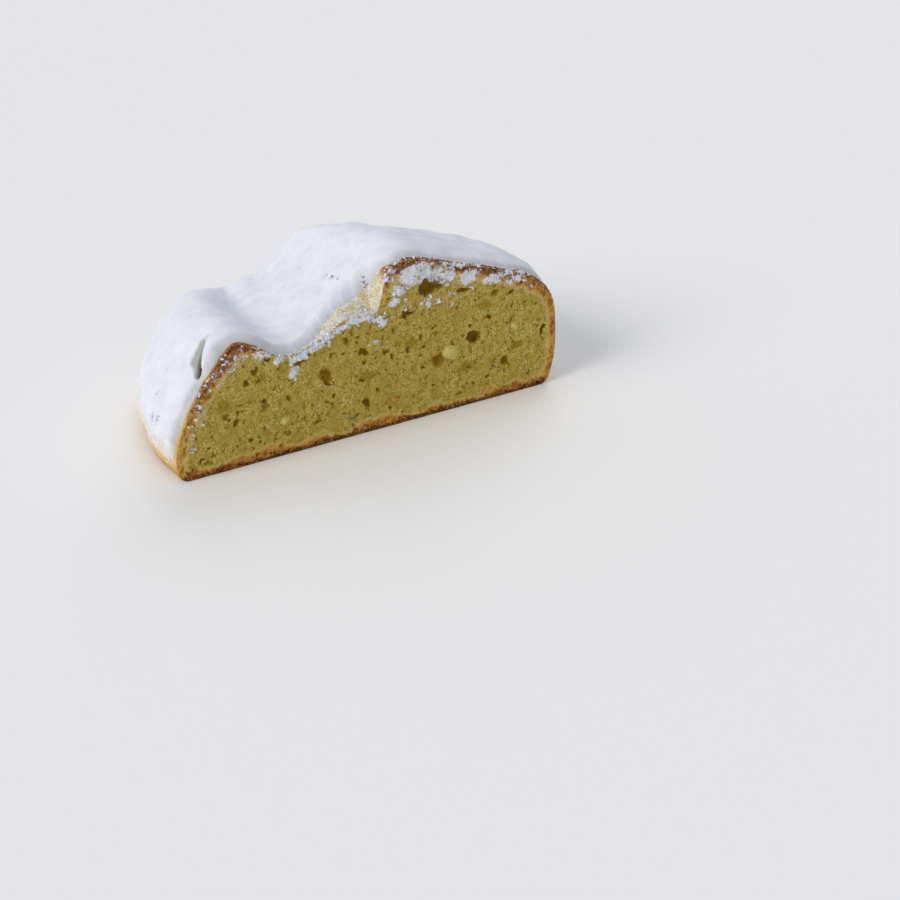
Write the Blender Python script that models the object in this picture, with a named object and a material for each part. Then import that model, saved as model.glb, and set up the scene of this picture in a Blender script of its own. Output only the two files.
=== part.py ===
"""Half of a stollen, cut across: a folded fruit loaf with one rounded end, under a thick coat of sugar.

The cut face looks along -Y and the rounded end along +Y. X runs across the loaf, from its low
lobe to its high lobe, and Z is up. The origin lies on the floor, under the middle of the piece.
Sizes below are in millimetres, and the objects are built in metres.
"""
import math
import random

import bpy
from mathutils import Vector, noise
from mathutils.geometry import delaunay_2d_cdt

MM = 0.001

# The loaf's length from the cut to the tip of its rounded end
LOAF_LENGTH = 82.0
FRONT_Y = -41.5
# The taper in plan and of the crown: 2 is an ellipse, and more is a blunter end
PLAN_BLUNTNESS = 2.36
CROWN_BLUNTNESS = 2.05
# The low lobe, left of this slope in the section, sinks by this share on its way to the tip
LOW_SIDE = (-30.0, 5.0)
LOW_LOBE_SINK = 0.13
# Humps that rise towards the tip, on low lobe, flap and shoulder: across, half width, height, run
HUMPS = [
    (-54.0, 9.0, 1.8, (8.0, 30.0)),
    (-22.0, 6.0, 4.5, (25.0, 60.0)),
    (3.0, 8.0, 4.5, (30.0, 62.0)),
]
# Towards the tip the folds fade into one plain dome: its height, middle, half width and where it starts
DOME_HEIGHT = 49.0
DOME_X = 6.0
DOME_HALF_WIDTH = 76.0
DOME_SQUARENESS = 2.4
DOME_FULLNESS = 0.55
DOME_RUN = (54.0, 82.0)
DOME_UP = (20.0, 32.0)
DOME_SHARE = 0.85
# The side walls bulge out behind the cut: how far, how high up, how far down and up it fades, over what run
WALL_BULGE = 2.3
BULGE_HEIGHT = 12.0
BULGE_DOWN = 24.0
BULGE_UP = 26.0
BULGE_RUN = 16.0
# The tip stands this high, and the underside curves in below it over this length
TIP_HEIGHT = 9.0
FOOT_ROUNDING = 8.0
# The end closes a little to the high side of the middle
TIP_OFFSET_X = 6.0

# The section at the cut, from the foot of the low lobe, over the crown, to the foot of the high lobe
LOW_WALL = [(-62.8, 0.0), (-65.3, 2.2), (-65.6, 9.0), (-62.4, 19.0), (-57.8, 27.5), (-52.4, 35.0)]
LOW_LOBE = [(-48.6, 38.8), (-43.8, 41.2), (-38.5, 39.2)]
FOLD = [(-33.0, 34.6), (-26.5, 33.2), (-19.0, 35.6)]
STEP = [(-11.5, 40.2), (-4.0, 44.6), (2.5, 50.0)]
HIGH_LOBE = [(8.5, 55.2), (15.0, 56.0), (25.0, 53.0), (36.0, 49.3), (47.0, 45.1), (56.6, 41.2)]
HIGH_WALL = [(62.8, 36.4), (66.6, 28.6), (67.4, 19.0), (67.0, 8.5), (65.6, 2.2), (62.8, 0.0)]
OUTLINE = LOW_WALL + LOW_LOBE + FOLD + STEP + HIGH_LOBE + HIGH_WALL

# A ledge where the crust of the step has broken away along the cut
LEDGE_FROM_X = -16.0
LEDGE_TO_X = 4.0
LEDGE_HEIGHT = 40.6
LEDGE_RUN = (3.5, 10.0)
LEDGE_SLOPE = 0.18
LEDGE_LOWEST = 25.0
# Its near end fades over this length either way, and its wall towards the high lobe over this
LEDGE_FADE = 4.0
LEDGE_WALL = 2.5

# Low swellings of the dough, and how finely they repeat
SWELL_HEIGHT = 0.9
SWELL_SIZE = 21.0
SWELL_SHIFT = Vector((3.1, 0.0, 7.7))
CRAG_HEIGHT = 0.25
CRAG_SIZE = 6.0
CRAG_SHIFT = Vector((0.0, 9.2, 1.4))
# They settle to nothing over the floor between these heights
SETTLE = (2.0, 14.0)

# The net of points that carries the crust
ROUND_STEPS = 74
BASE_STEPS = 12
LENGTH_STEPS = 17
# Outward directions are taken over these steps, none past the last station
STEP_ALONG = 0.01
STEP_ROUND = 0.004
LAST_STATION = 0.985

# The crumb at the cut: point spacing, roughness, and pits drawn at random
CRUMB_SPACING = 2.35
CRUMB_MARGIN = 1.3
CRUMB_ROUGHNESS = 0.28
CRUMB_GRAIN = 3.4
CRUMB_JITTER = 0.3
CRUMB_BOX = (140.0, 60.0)
PIT_COUNT = 26
PIT_ACROSS = (-62.0, 62.0)
PIT_UP = (3.0, 52.0)
PIT_RADIUS = (0.8, 1.5)
PIT_DEPTH = (0.4, 0.9)
PIT_WALL = (0.25, 1.3)
# Larger hollows: across, up, radius, depth
HOLLOWS = [
    (20.9, 45.3, 3.9, 3.0),
    (12.5, 38.0, 1.9, 1.4),
    (36.7, 23.8, 2.5, 2.6),
    (23.0, 19.4, 1.9, 1.3),
    (-2.3, 28.3, 1.4, 1.0),
    (-15.4, 23.4, 2.4, 1.1),
    (-39.0, 30.8, 1.4, 0.9),
    (-46.0, 15.0, 1.5, 0.9),
    (-2.0, 10.0, 1.8, 1.2),
    (48.0, 12.0, 1.7, 1.1),
]
# Pieces of candied peel that stand a little proud of the cut: across, up, half size
PEEL_BITS = [(27.8, 20.6, 2.0), (-30.0, 12.0, 1.8), (8.0, 9.0, 1.9), (52.0, 24.0, 1.7)]
PEEL_RISE = 0.7
PEEL_WALL = (0.8, 1.5)

# The sugar coat: its thickness, the space below it, and where its edges run
SUGAR_THICKNESS = 2.0
SUGAR_GAP = 0.45
SUGAR_RIM = 0.7
SUGAR_TAPER = 9.0
SUGAR_LUMPS = 0.8
SUGAR_LUMP_SIZE = 9.0
SUGAR_LOW_EDGE = 12.0
SUGAR_HIGH_EDGE = 12.5
SUGAR_EDGE_WANDER = 2.6
SUGAR_EDGE_WAVES = 7.0
SUGAR_END = 0.965
SUGAR_END_WANDER = 0.012
# The coat is rounded down to this share of its thickness over this share of its length at the cut
SUGAR_CUT_SHARE = 0.55
SUGAR_CUT_ROUND = 0.05
# It starts this far behind the cut, further on the ledge, on the low lobe's top and on the high wall
SUGAR_CUT_EDGE = 0.9
SUGAR_CUT_WANDER = 0.5
SUGAR_LEDGE_EDGE = 5.6
SUGAR_LEDGE_NEAR = 8.0
SUGAR_LEDGE_FAR = (-1.0, 5.0)
SUGAR_PEEK = (-47.0, 5.0, 2.2)
SUGAR_HIGH_WALL = (50.0, 64.0, 4.0)
# A split on the low lobe's shoulder and a rolled lip beside it: across, behind the cut, half sizes
SPLIT = (-53.2, 6.8, 1.9, 4.2)
SPLIT_DEPTH = 0.8
LIP = (-48.5, 4.5, 3.0, 5.0)
LIP_RISE = 1.1
SUGAR_ROUND_STEPS = 62
SUGAR_LENGTH_STEPS = 18
# Its rows stand closer together near the cut: 1 would space them evenly
SUGAR_CROWDING = 1.6

# The middle of the finished piece in the numbers above, which is moved over the origin
MIDDLE_X = 1.4
MIDDLE_Y = -0.3

# Linear red, green and blue of the crumb and of the sugar, and how dull they are
CRUMB_COLOUR = (0.48, 0.36, 0.115)
CRUMB_DULLNESS = 0.9
SUGAR_COLOUR = (0.83, 0.84, 0.88)
SUGAR_DULLNESS = 0.85

SEED = 20
CURVE_STEPS = 24


def smooth_step(low, high, value):
    """Rises from 0 at low to 1 at high with a soft start and end."""
    share = min(1.0, max(0.0, (value - low) / (high - low)))
    return share * share * (3.0 - 2.0 * share)


def catmull_rom(a, b, c, d, share):
    """A point between b and c on the smooth curve through four points."""
    squared = share * share
    cubed = squared * share
    return tuple(
        0.5 * (2.0 * q + (r - p) * share + (2.0 * p - 5.0 * q + 4.0 * r - s) * squared
               + (3.0 * q - p - 3.0 * r + s) * cubed)
        for p, q, r, s in zip(a, b, c, d)
    )


def smooth_outline(landmarks):
    """The landmarks' smooth curve as points with the length that each has run."""
    ends = [landmarks[0]] + landmarks + [landmarks[-1]]
    points = []
    for first, second, third, fourth in zip(ends, ends[1:], ends[2:], ends[3:]):
        points += [catmull_rom(first, second, third, fourth, i / CURVE_STEPS) for i in range(CURVE_STEPS)]
    points.append(landmarks[-1])
    run = [0.0]
    for before, after in zip(points, points[1:]):
        run.append(run[-1] + math.dist(before, after))
    return points, run


CURVE, CURVE_RUN = smooth_outline(OUTLINE)


def outline_at(share):
    """The section's point at a share of its length, from the low lobe's foot to the high lobe's."""
    target = min(1.0, max(0.0, share)) * CURVE_RUN[-1]
    low, high = 0, len(CURVE_RUN) - 1
    while high - low > 1:
        middle = (low + high) // 2
        if CURVE_RUN[middle] <= target:
            low = middle
        else:
            high = middle
    part = (target - CURVE_RUN[low]) / (CURVE_RUN[high] - CURVE_RUN[low])
    return [p + (q - p) * part for p, q in zip(CURVE[low], CURVE[high])]


def share_at_height(height, high_side):
    """The share of the section's length at which a side wall reaches this height."""
    low, high = (1.0, 0.8) if high_side else (0.0, 0.2)
    for _ in range(30):
        middle = (low + high) / 2.0
        if outline_at(middle)[1] < height:
            low = middle
        else:
            high = middle
    return low


def taper(along):
    """Where a station stands along the loaf, and how far its sides, crown and foot have come in."""
    angle = along * math.pi / 2.0
    distance = LOAF_LENGTH * math.sin(angle) ** (2.0 / PLAN_BLUNTNESS)
    width = max(0.0, math.cos(angle)) ** (2.0 / PLAN_BLUNTNESS)
    crown = max(0.0, 1.0 - (distance / LOAF_LENGTH) ** CROWN_BLUNTNESS) ** (1.0 / CROWN_BLUNTNESS)
    past = max(0.0, (distance - (LOAF_LENGTH - FOOT_ROUNDING)) / FOOT_ROUNDING)
    foot = math.sqrt(max(0.0, 1.0 - past * past))
    return distance, width, crown, foot


def swell(place):
    """How far the dough swells out at a place, from low rounded lumps and finer crags."""
    low = noise.noise(place / SWELL_SIZE + SWELL_SHIFT)
    fine = noise.noise(place / CRAG_SIZE + CRAG_SHIFT)
    return SWELL_HEIGHT * low + CRAG_HEIGHT * fine


def shaped(x, z, along):
    """The point of the section, carried to a station of the loaf."""
    distance, width, crown, foot = taper(along)
    lift = crown if z > TIP_HEIGHT else foot
    if z > TIP_HEIGHT:
        low_side = 1.0 - smooth_step(*LOW_SIDE, x)
        lift *= 1.0 - LOW_LOBE_SINK * low_side * distance / LOAF_LENGTH
        inside = max(0.0, 1.0 - abs((x - DOME_X) / DOME_HALF_WIDTH) ** DOME_SQUARENESS)
        fade = DOME_SHARE * smooth_step(*DOME_RUN, distance) * smooth_step(*DOME_UP, z)
        z += (DOME_HEIGHT * inside ** DOME_FULLNESS - z) * fade
        for across, half_width, height, run in HUMPS:
            z += height * math.exp(-(((x - across) / half_width) ** 2)) * smooth_step(*run, distance)
    outward = (x - TIP_OFFSET_X) / HIGH_WALL[2][0]
    bulge = WALL_BULGE * smooth_step(0.0, BULGE_RUN, distance)
    spread = BULGE_UP if z > BULGE_HEIGHT else BULGE_DOWN
    bulge *= math.exp(-(((z - BULGE_HEIGHT) / spread) ** 2) * 2.0)
    return Vector((
        TIP_OFFSET_X + (x - TIP_OFFSET_X + outward * bulge) * width,
        FRONT_Y + distance,
        TIP_HEIGHT + (z - TIP_HEIGHT) * lift,
    ))


def ledge_drop(place):
    """How far the broken ledge lies below the whole crust."""
    behind = place.y - FRONT_Y
    above = max(0.0, place.z - LEDGE_HEIGHT - LEDGE_SLOPE * behind)
    start = smooth_step(LEDGE_FROM_X - LEDGE_FADE, LEDGE_FROM_X + LEDGE_FADE, place.x)
    wall = 1.0 - smooth_step(LEDGE_TO_X - LEDGE_WALL, LEDGE_TO_X + LEDGE_WALL, place.x)
    back = 1.0 - smooth_step(*LEDGE_RUN, behind)
    return above * start * wall * back


def crust_normal(share, along):
    """The outward direction of the smooth loaf at a share round the section and along the loaf."""
    near, far = max(0.0, along - STEP_ALONG), min(LAST_STATION, along + STEP_ALONG)
    left, right = max(0.0, share - STEP_ROUND), min(1.0, share + STEP_ROUND)
    middle_along = min(along, LAST_STATION)
    round_way = shaped(*outline_at(right), middle_along) - shaped(*outline_at(left), middle_along)
    long_way = shaped(*outline_at(share), far) - shaped(*outline_at(share), near)
    return round_way.cross(long_way).normalized()


def crust_point(share, along):
    """A point of the crust: the tapered section, its swellings and the broken ledge."""
    place = shaped(*outline_at(share), along)
    settle = smooth_step(*SETTLE, place.z)
    place += crust_normal(share, along) * swell(place) * settle
    if place.z > LEDGE_LOWEST:
        place.z -= ledge_drop(place)
    return place


def base_point(share, along):
    """A point of the flat underside, from the high lobe's foot back to the low lobe's."""
    low, high = OUTLINE[0], OUTLINE[-1]
    return shaped(high[0] + (low[0] - high[0]) * share, 0.0, along)


def loaf_ring(along):
    """One closed ring of points round the loaf."""
    upper = [crust_point(i / ROUND_STEPS, along) for i in range(ROUND_STEPS + 1)]
    base = [base_point(i / BASE_STEPS, along) for i in range(1, BASE_STEPS)]
    return upper + base


def drawn_pits():
    """Crumb pits at random places, none near a hollow or a piece of peel."""
    draw = random.Random(SEED)
    kept = [(x, z, radius) for x, z, radius, _ in HOLLOWS] + PEEL_BITS
    pits = []
    while len(pits) < PIT_COUNT:
        x, z = draw.uniform(*PIT_ACROSS), draw.uniform(*PIT_UP)
        radius, depth = draw.uniform(*PIT_RADIUS), draw.uniform(*PIT_DEPTH)
        if all(math.hypot(x - a, z - b) > radius + r for a, b, r in kept):
            kept.append((x, z, radius))
            pits.append((x, z, radius, depth))
    return pits


def crumb_relief(x, z, pits):
    """How far the torn crumb stands out of the cut plane (negative) or sinks into it."""
    relief = CRUMB_ROUGHNESS * noise.noise(Vector((x, z, 0.0)) / CRUMB_GRAIN)
    for across, up, radius, depth in pits:
        away = math.hypot(x - across, z - up) / radius
        relief += depth * (1.0 - smooth_step(*PIT_WALL, away))
    for across, up, half in PEEL_BITS:
        away = max(abs(x - across), abs(z - up)) / half
        relief -= PEEL_RISE * (1.0 - smooth_step(*PEEL_WALL, away))
    return relief


def within(x, z, corners):
    """Whether a point lies inside the closed outline, clear of its edge."""
    crossed = False
    nearest = 1e9
    for a, b in zip(corners, corners[1:] + corners[:1]):
        if (a.y > z) != (b.y > z) and x < a.x + (z - a.y) * (b.x - a.x) / (b.y - a.y):
            crossed = not crossed
        side = b - a
        share = min(1.0, max(0.0, (Vector((x, z)) - a).dot(side) / side.length_squared))
        nearest = min(nearest, (a + side * share - Vector((x, z))).length)
    return crossed and nearest > CRUMB_MARGIN


def cut_face(ring):
    """Points and triangles of the cut, in the X-Z plane of the ring, with the ring's points first."""
    draw = random.Random(SEED + 1)
    corners = [Vector((p.x, p.z)) for p in ring]
    edges = [(i, (i + 1) % len(corners)) for i in range(len(corners))]
    inside = []
    row_height = CRUMB_SPACING * math.sqrt(3.0) / 2.0
    for row in range(int(CRUMB_BOX[1] / row_height)):
        for column in range(int(CRUMB_BOX[0] / CRUMB_SPACING)):
            x = (column + 0.5 * (row % 2)) * CRUMB_SPACING - CRUMB_BOX[0] / 2.0
            x += draw.uniform(-CRUMB_JITTER, CRUMB_JITTER)
            z = row * row_height + draw.uniform(-CRUMB_JITTER, CRUMB_JITTER)
            if within(x, z, corners):
                inside.append(Vector((x, z)))
    points, _, faces, origins, _, _ = delaunay_2d_cdt(corners + inside, edges, [], 1, 1e-6)
    order = [o[0] for o in origins]
    return points, faces, order


def add_object(name, points, faces, material, collection):
    """A mesh object from points in millimetres, with its faces turned outward and shaded smooth."""
    middle = Vector((MIDDLE_X, MIDDLE_Y, 0.0))
    mesh = bpy.data.meshes.new(name)
    mesh.from_pydata([(p - middle) * MM for p in points], [], faces)
    mesh.validate()
    mesh.materials.append(material)
    mesh.shade_smooth()
    mesh.set_sharp_from_angle(angle=math.radians(50.0))
    made = bpy.data.objects.new(name, mesh)
    collection.objects.link(made)
    return made


def make_material(name, colour, roughness):
    """A plain food surface: colour as linear red, green and blue."""
    material = bpy.data.materials.new(name)
    material.use_nodes = True
    shader = material.node_tree.nodes["Principled BSDF"]
    shader.inputs["Base Color"].default_value = (*colour, 1.0)
    shader.inputs["Roughness"].default_value = roughness
    shader.inputs["Metallic"].default_value = 0.0
    return material


def build_loaf(collection):
    """The baked loaf: crust from the cut to the rounded end, a flat underside, and the cut crumb."""
    rings = [loaf_ring(i / LENGTH_STEPS) for i in range(LENGTH_STEPS)]
    count = len(rings[0])
    points = [p for ring in rings for p in ring]
    faces = []
    for station in range(LENGTH_STEPS - 1):
        for i in range(count):
            here = station * count + i
            beside = station * count + (i + 1) % count
            faces.append((here, beside, beside + count, here + count))
    tip = len(points)
    points.append(shaped(TIP_OFFSET_X, TIP_HEIGHT, 1.0))
    last = (LENGTH_STEPS - 1) * count
    faces += [(last + i, last + (i + 1) % count, tip) for i in range(count)]

    flat, triangles, order = cut_face(rings[0])
    pits = HOLLOWS + drawn_pits()
    number = []
    for point, origin in zip(flat, order):
        if origin < count:
            number.append(origin)
            continue
        number.append(len(points))
        points.append(Vector((point.x, FRONT_Y + crumb_relief(point.x, point.y, pits), point.y)))
    faces += [tuple(number[i] for i in triangle) for triangle in triangles]

    crumb = make_material("stollen_crumb", CRUMB_COLOUR, CRUMB_DULLNESS)
    return add_object("loaf", points, faces, crumb, collection)


def sugar_front(share):
    """How far behind the cut the sugar starts, at a share round the section."""
    x = outline_at(share)[0]
    ledge = smooth_step(LEDGE_FROM_X - SUGAR_LEDGE_NEAR, LEDGE_FROM_X + SUGAR_LEDGE_NEAR, x)
    ledge *= 1.0 - smooth_step(LEDGE_TO_X + SUGAR_LEDGE_FAR[0], LEDGE_TO_X + SUGAR_LEDGE_FAR[1], x)
    middle, half_width, set_back = SUGAR_PEEK
    peek = set_back * math.exp(-(((x - middle) / half_width) ** 2))
    high_wall = SUGAR_HIGH_WALL[2] * smooth_step(*SUGAR_HIGH_WALL[:2], x)
    wander = SUGAR_CUT_WANDER * noise.noise(Vector((share * 23.0, 2.0, 0.5)))
    return SUGAR_CUT_EDGE + SUGAR_LEDGE_EDGE * ledge + peek + high_wall + wander


def along_at(distance):
    """The share along the loaf that stands a distance behind the cut."""
    return math.asin((max(0.0, distance) / LOAF_LENGTH) ** (PLAN_BLUNTNESS / 2.0)) * 2.0 / math.pi


def sugar_place(across, length):
    """The share round the section and along the loaf of a point of the sugar coat."""
    wander = SUGAR_EDGE_WANDER * noise.noise(Vector((length * SUGAR_EDGE_WAVES, 0.3, 4.0)))
    other = SUGAR_EDGE_WANDER * noise.noise(Vector((length * SUGAR_EDGE_WAVES, 8.3, 1.0)))
    first = share_at_height(SUGAR_LOW_EDGE + wander, False)
    last = share_at_height(SUGAR_HIGH_EDGE + other, True)
    share = first + (last - first) * across
    front = along_at(sugar_front(share))
    end = SUGAR_END + SUGAR_END_WANDER * noise.noise(Vector((across * 9.0, 5.0, 0.0)))
    return share, front + (end - front) * length


def mound(place, across, behind, half_across, half_behind):
    """A soft hill, 1 at its middle, at a spot given across the loaf and behind the cut."""
    side = (place.x - across) / half_across
    back = (place.y - FRONT_Y - behind) / half_behind
    return math.exp(-side * side - back * back)


def sugar_depth(across, length, place):
    """The thickness of the sugar: full on top, thin at its lower edges, and lumpy."""
    from_edge = min(across, 1.0 - across) * CURVE_RUN[-1]
    from_end = (1.0 - length) * LOAF_LENGTH
    full = smooth_step(0.0, SUGAR_TAPER, from_edge) * smooth_step(0.0, SUGAR_TAPER, from_end)
    from_cut = SUGAR_CUT_SHARE + (1.0 - SUGAR_CUT_SHARE) * smooth_step(0.0, SUGAR_CUT_ROUND, length)
    lumps = SUGAR_LUMPS * noise.noise(place / SUGAR_LUMP_SIZE)
    lumps += LIP_RISE * mound(place, *LIP)
    split = 1.0 - SPLIT_DEPTH * mound(place, *SPLIT)
    return SUGAR_RIM + (SUGAR_THICKNESS - SUGAR_RIM + lumps) * full * from_cut * split


def build_sugar(collection):
    """The sugar coat: a thick skin over the loaf, open along the cut and above the underside."""
    outer, inner = [], []
    for j in range(SUGAR_LENGTH_STEPS + 1):
        for i in range(SUGAR_ROUND_STEPS + 1):
            across, length = i / SUGAR_ROUND_STEPS, (j / SUGAR_LENGTH_STEPS) ** SUGAR_CROWDING
            share, along = sugar_place(across, length)
            place = crust_point(share, along)
            out = crust_normal(share, along)
            inner.append(place + out * SUGAR_GAP)
            outer.append(place + out * (SUGAR_GAP + sugar_depth(across, length, place)))
    count = len(outer)
    row = SUGAR_ROUND_STEPS + 1
    faces = []
    for j in range(SUGAR_LENGTH_STEPS):
        for a in range(j * row, j * row + SUGAR_ROUND_STEPS):
            faces.append((a, a + 1, a + 1 + row, a + row))
            faces.append((count + a, count + a + row, count + a + 1 + row, count + a + 1))
    front = list(range(row))
    back = [SUGAR_LENGTH_STEPS * row + i for i in reversed(range(row))]
    low = [j * row for j in reversed(range(SUGAR_LENGTH_STEPS + 1))]
    high = [j * row + row - 1 for j in range(SUGAR_LENGTH_STEPS + 1)]
    for line in (front, high, back, low):
        faces += [(a, count + a, count + b, b) for a, b in zip(line, line[1:])]
    white = make_material("icing_sugar", SUGAR_COLOUR, SUGAR_DULLNESS)
    return add_object("sugar_coat", outer + inner, faces, white, collection)


def build_stollen():
    """Clears the scene and builds the two pieces."""
    for old in list(bpy.data.objects):
        bpy.data.objects.remove(old, do_unlink=True)
    collection = bpy.data.collections.new("stollen")
    bpy.context.scene.collection.children.link(collection)
    build_loaf(collection)
    build_sugar(collection)


build_stollen()
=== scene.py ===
"""Dresses half of a cut stollen: torn yellow crumb, baked crust, a soft sugar coat and loose sugar.

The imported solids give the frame. The cut face looks along -Y, the rounded end along +Y, and X runs
across the loaf from its low lobe to its high lobe. Sizes are in millimetres until a mesh is made.
"""
import itertools
import logging
import math
import random
from dataclasses import dataclass, field
from enum import Enum

import bmesh
import bpy
import numpy as np
from mathutils import Matrix, Vector, noise
from mathutils.geometry import delaunay_2d_cdt


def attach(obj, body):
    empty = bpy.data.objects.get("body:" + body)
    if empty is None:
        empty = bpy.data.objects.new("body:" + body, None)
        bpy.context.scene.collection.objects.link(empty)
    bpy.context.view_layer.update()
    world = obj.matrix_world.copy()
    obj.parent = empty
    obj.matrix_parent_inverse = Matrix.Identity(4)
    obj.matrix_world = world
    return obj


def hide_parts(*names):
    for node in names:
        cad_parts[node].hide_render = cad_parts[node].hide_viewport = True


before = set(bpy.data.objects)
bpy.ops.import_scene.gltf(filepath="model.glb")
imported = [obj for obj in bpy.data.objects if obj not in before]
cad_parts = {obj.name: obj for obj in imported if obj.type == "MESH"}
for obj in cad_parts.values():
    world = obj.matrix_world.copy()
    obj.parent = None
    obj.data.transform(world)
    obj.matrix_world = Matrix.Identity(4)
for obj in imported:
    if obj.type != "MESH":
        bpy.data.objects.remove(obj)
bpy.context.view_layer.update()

LOG = logging.getLogger("stollen")
MM = 0.001
# Each random draw starts from this number plus one of its own
SEED = 20
# Rows of a net of even triangles lie this share of its step apart
ROW_RISE = 0.866


class Slot(Enum):
    """The record's material slots."""

    CRUMB = "crumb"
    SUGAR = "sugar"


def linear(hex_colour: str) -> tuple[float, float, float, float]:
    """Turns an sRGB hex colour to linear light.

    Args:
        hex_colour: six hex digits after a hash sign.

    Returns:
        Linear red, green and blue, and an alpha of 1.
    """
    parts = [int(hex_colour[i:i + 2], 16) / 255.0 for i in (1, 3, 5)]
    light = [p / 12.92 if p <= 0.04045 else ((p + 0.055) / 1.055) ** 2.4 for p in parts]
    return (*light, 1.0)


def add_node(
    material: bpy.types.Material,
    kind: str,
    settings: dict[str, object],
    links: dict[str | int, bpy.types.NodeSocket] | None = None,
) -> bpy.types.Node:
    """Adds one shader node with its settings and its incoming links.

    Args:
        material: the material that the node joins.
        kind: the node's type name, without its ShaderNode prefix.
        settings: properties or unlinked inputs by name, or by number for unnamed inputs; "stops"
            holds a colour ramp's places and hex colours.
        links: the sockets that feed the node's inputs.

    Returns:
        The new node.
    """
    tree = material.node_tree
    node = tree.nodes.new("ShaderNode" + kind)
    for name, value in settings.items():
        if name == "stops":
            ramp = node.color_ramp
            while len(ramp.elements) < len(value):
                ramp.elements.new(1.0)
            for element, (place, colour) in zip(ramp.elements, value):
                element.position = place
                element.color = linear(colour)
        elif isinstance(name, str) and hasattr(node, name):
            setattr(node, name, value)
        else:
            node.inputs[name].default_value = value
    for name, socket in (links or {}).items():
        tree.links.new(socket, node.inputs[name])
    return node


def smooth_step(low: float, high: float, value: np.ndarray) -> np.ndarray:
    """Rises from 0 to 1 with a soft start and end.

    Args:
        low: where the rise starts.
        high: where it ends.
        value: the places asked for.

    Returns:
        The share risen at each place.
    """
    share = np.clip((value - low) / (high - low), 0.0, 1.0)
    return share * share * (3.0 - 2.0 * share)


class Hills:
    """Smooth random hills over space, the same on each run."""

    # The hills are flat at the lattice's corners, and this keeps those off the loaf's middle
    SHIFT: float = 31.7
    # Brings the tops to about 1
    GAIN: float = 1.5

    def __init__(self, seed: int) -> None:
        """Draws the lattice's order and slopes.

        Args:
            seed: the draw's seed.
        """
        draw = np.random.default_rng(seed)
        self.order = draw.permutation(256)
        slopes = draw.normal(size=(256, 3))
        self.slopes = slopes / np.linalg.norm(slopes, axis=1, keepdims=True)

    def at(self, places: np.ndarray, size: float) -> np.ndarray:
        """The hills' height.

        Args:
            places: points in millimetres, one a row.
            size: the distance between hills in millimetres.

        Returns:
            Heights from about -1 to 1.
        """
        scaled = places / size + self.SHIFT
        cell = np.floor(scaled).astype(np.int64)
        local = scaled - cell
        fade = local * local * local * (local * (local * 6.0 - 15.0) + 10.0)
        total = np.zeros(len(places))
        for corner in itertools.product((0, 1), repeat=3):
            at = (cell + corner) & 255
            key = self.order[at[:, 0]]
            for axis in (1, 2):
                key = self.order[(key + at[:, axis]) & 255]
            rise = ((local - corner) * self.slopes[key]).sum(1)
            weight = np.prod(np.where(corner, fade, 1.0 - fade), axis=1)
            total += weight * rise
        return total * self.GAIN


def spread(places: np.ndarray, stretch: tuple[float, float, float]) -> np.ndarray:
    """Stretches places, so that hills read there come out long along one axis."""
    return places / np.array(stretch)


def on_cut(across: np.ndarray, up: np.ndarray) -> np.ndarray:
    """Places on the cut plane, one a row, where hills are read for it."""
    return np.stack([across, np.zeros(len(across)), up], 1)


def swells(places: np.ndarray) -> np.ndarray:
    """Reads Blender's own smooth noise at each place."""
    return np.array([noise.noise(Vector(place)) for place in places])


def wander(run: np.ndarray, row: float, layer: float) -> np.ndarray:
    """Reads the same noise along a line of its own, for an edge that wanders."""
    return swells(np.stack([run, np.full(len(run), row), np.full(len(run), layer)], 1))


def skewed(draw: random.Random, least: float, over: float, power: float) -> float:
    """Draws a size that is mostly near the least, the more so the higher the power."""
    return least + over * draw.random() ** power


@dataclass(frozen=True)
class SoftFinish:
    """What the loaf's finishes share: a soft surface that light goes a little way into."""

    roughness: float = 0.9
    ior: float = 1.4
    # Shine seen straight on, where 0.5 is what the IOR gives
    shine: float = 0.5
    # How much light goes in, how far it gets, and how far its red, green and blue get as shares of that
    glow: float = 0.1
    glow_reach_mm: float = 1.0
    glow_colour: tuple[float, float, float] = (1.0, 1.0, 1.0)

    def start(self, name: str) -> tuple[bpy.types.Material, bpy.types.NodeSocket]:
        """Makes a material that has no surface yet.

        Args:
            name: the material's name.

        Returns:
            The material, and the socket that gives places on the mesh.
        """
        made = bpy.data.materials.new(name)
        made.use_nodes = True
        made.node_tree.nodes.clear()
        return made, add_node(made, "TexCoord", {}).outputs["Object"]

    def surface(
        self,
        made: bpy.types.Material,
        colour: bpy.types.NodeSocket,
        normal: bpy.types.NodeSocket,
    ) -> bpy.types.Material:
        """Gives a material its surface, with the finish's own shine and glow.

        Args:
            made: the material.
            colour: the socket that gives its colour.
            normal: the socket that gives its fine relief.

        Returns:
            The finished material.
        """
        settings = {
            "Roughness": self.roughness, "IOR": self.ior, "Specular IOR Level": self.shine,
            "Subsurface Weight": self.glow, "Subsurface Radius": self.glow_colour,
            "Subsurface Scale": self.glow_reach_mm * MM,
        }
        shader = add_node(made, "BsdfPrincipled", settings, {"Base Color": colour, "Normal": normal})
        add_node(made, "OutputMaterial", {}, {"Surface": shader.outputs["BSDF"]})
        return made


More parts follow.
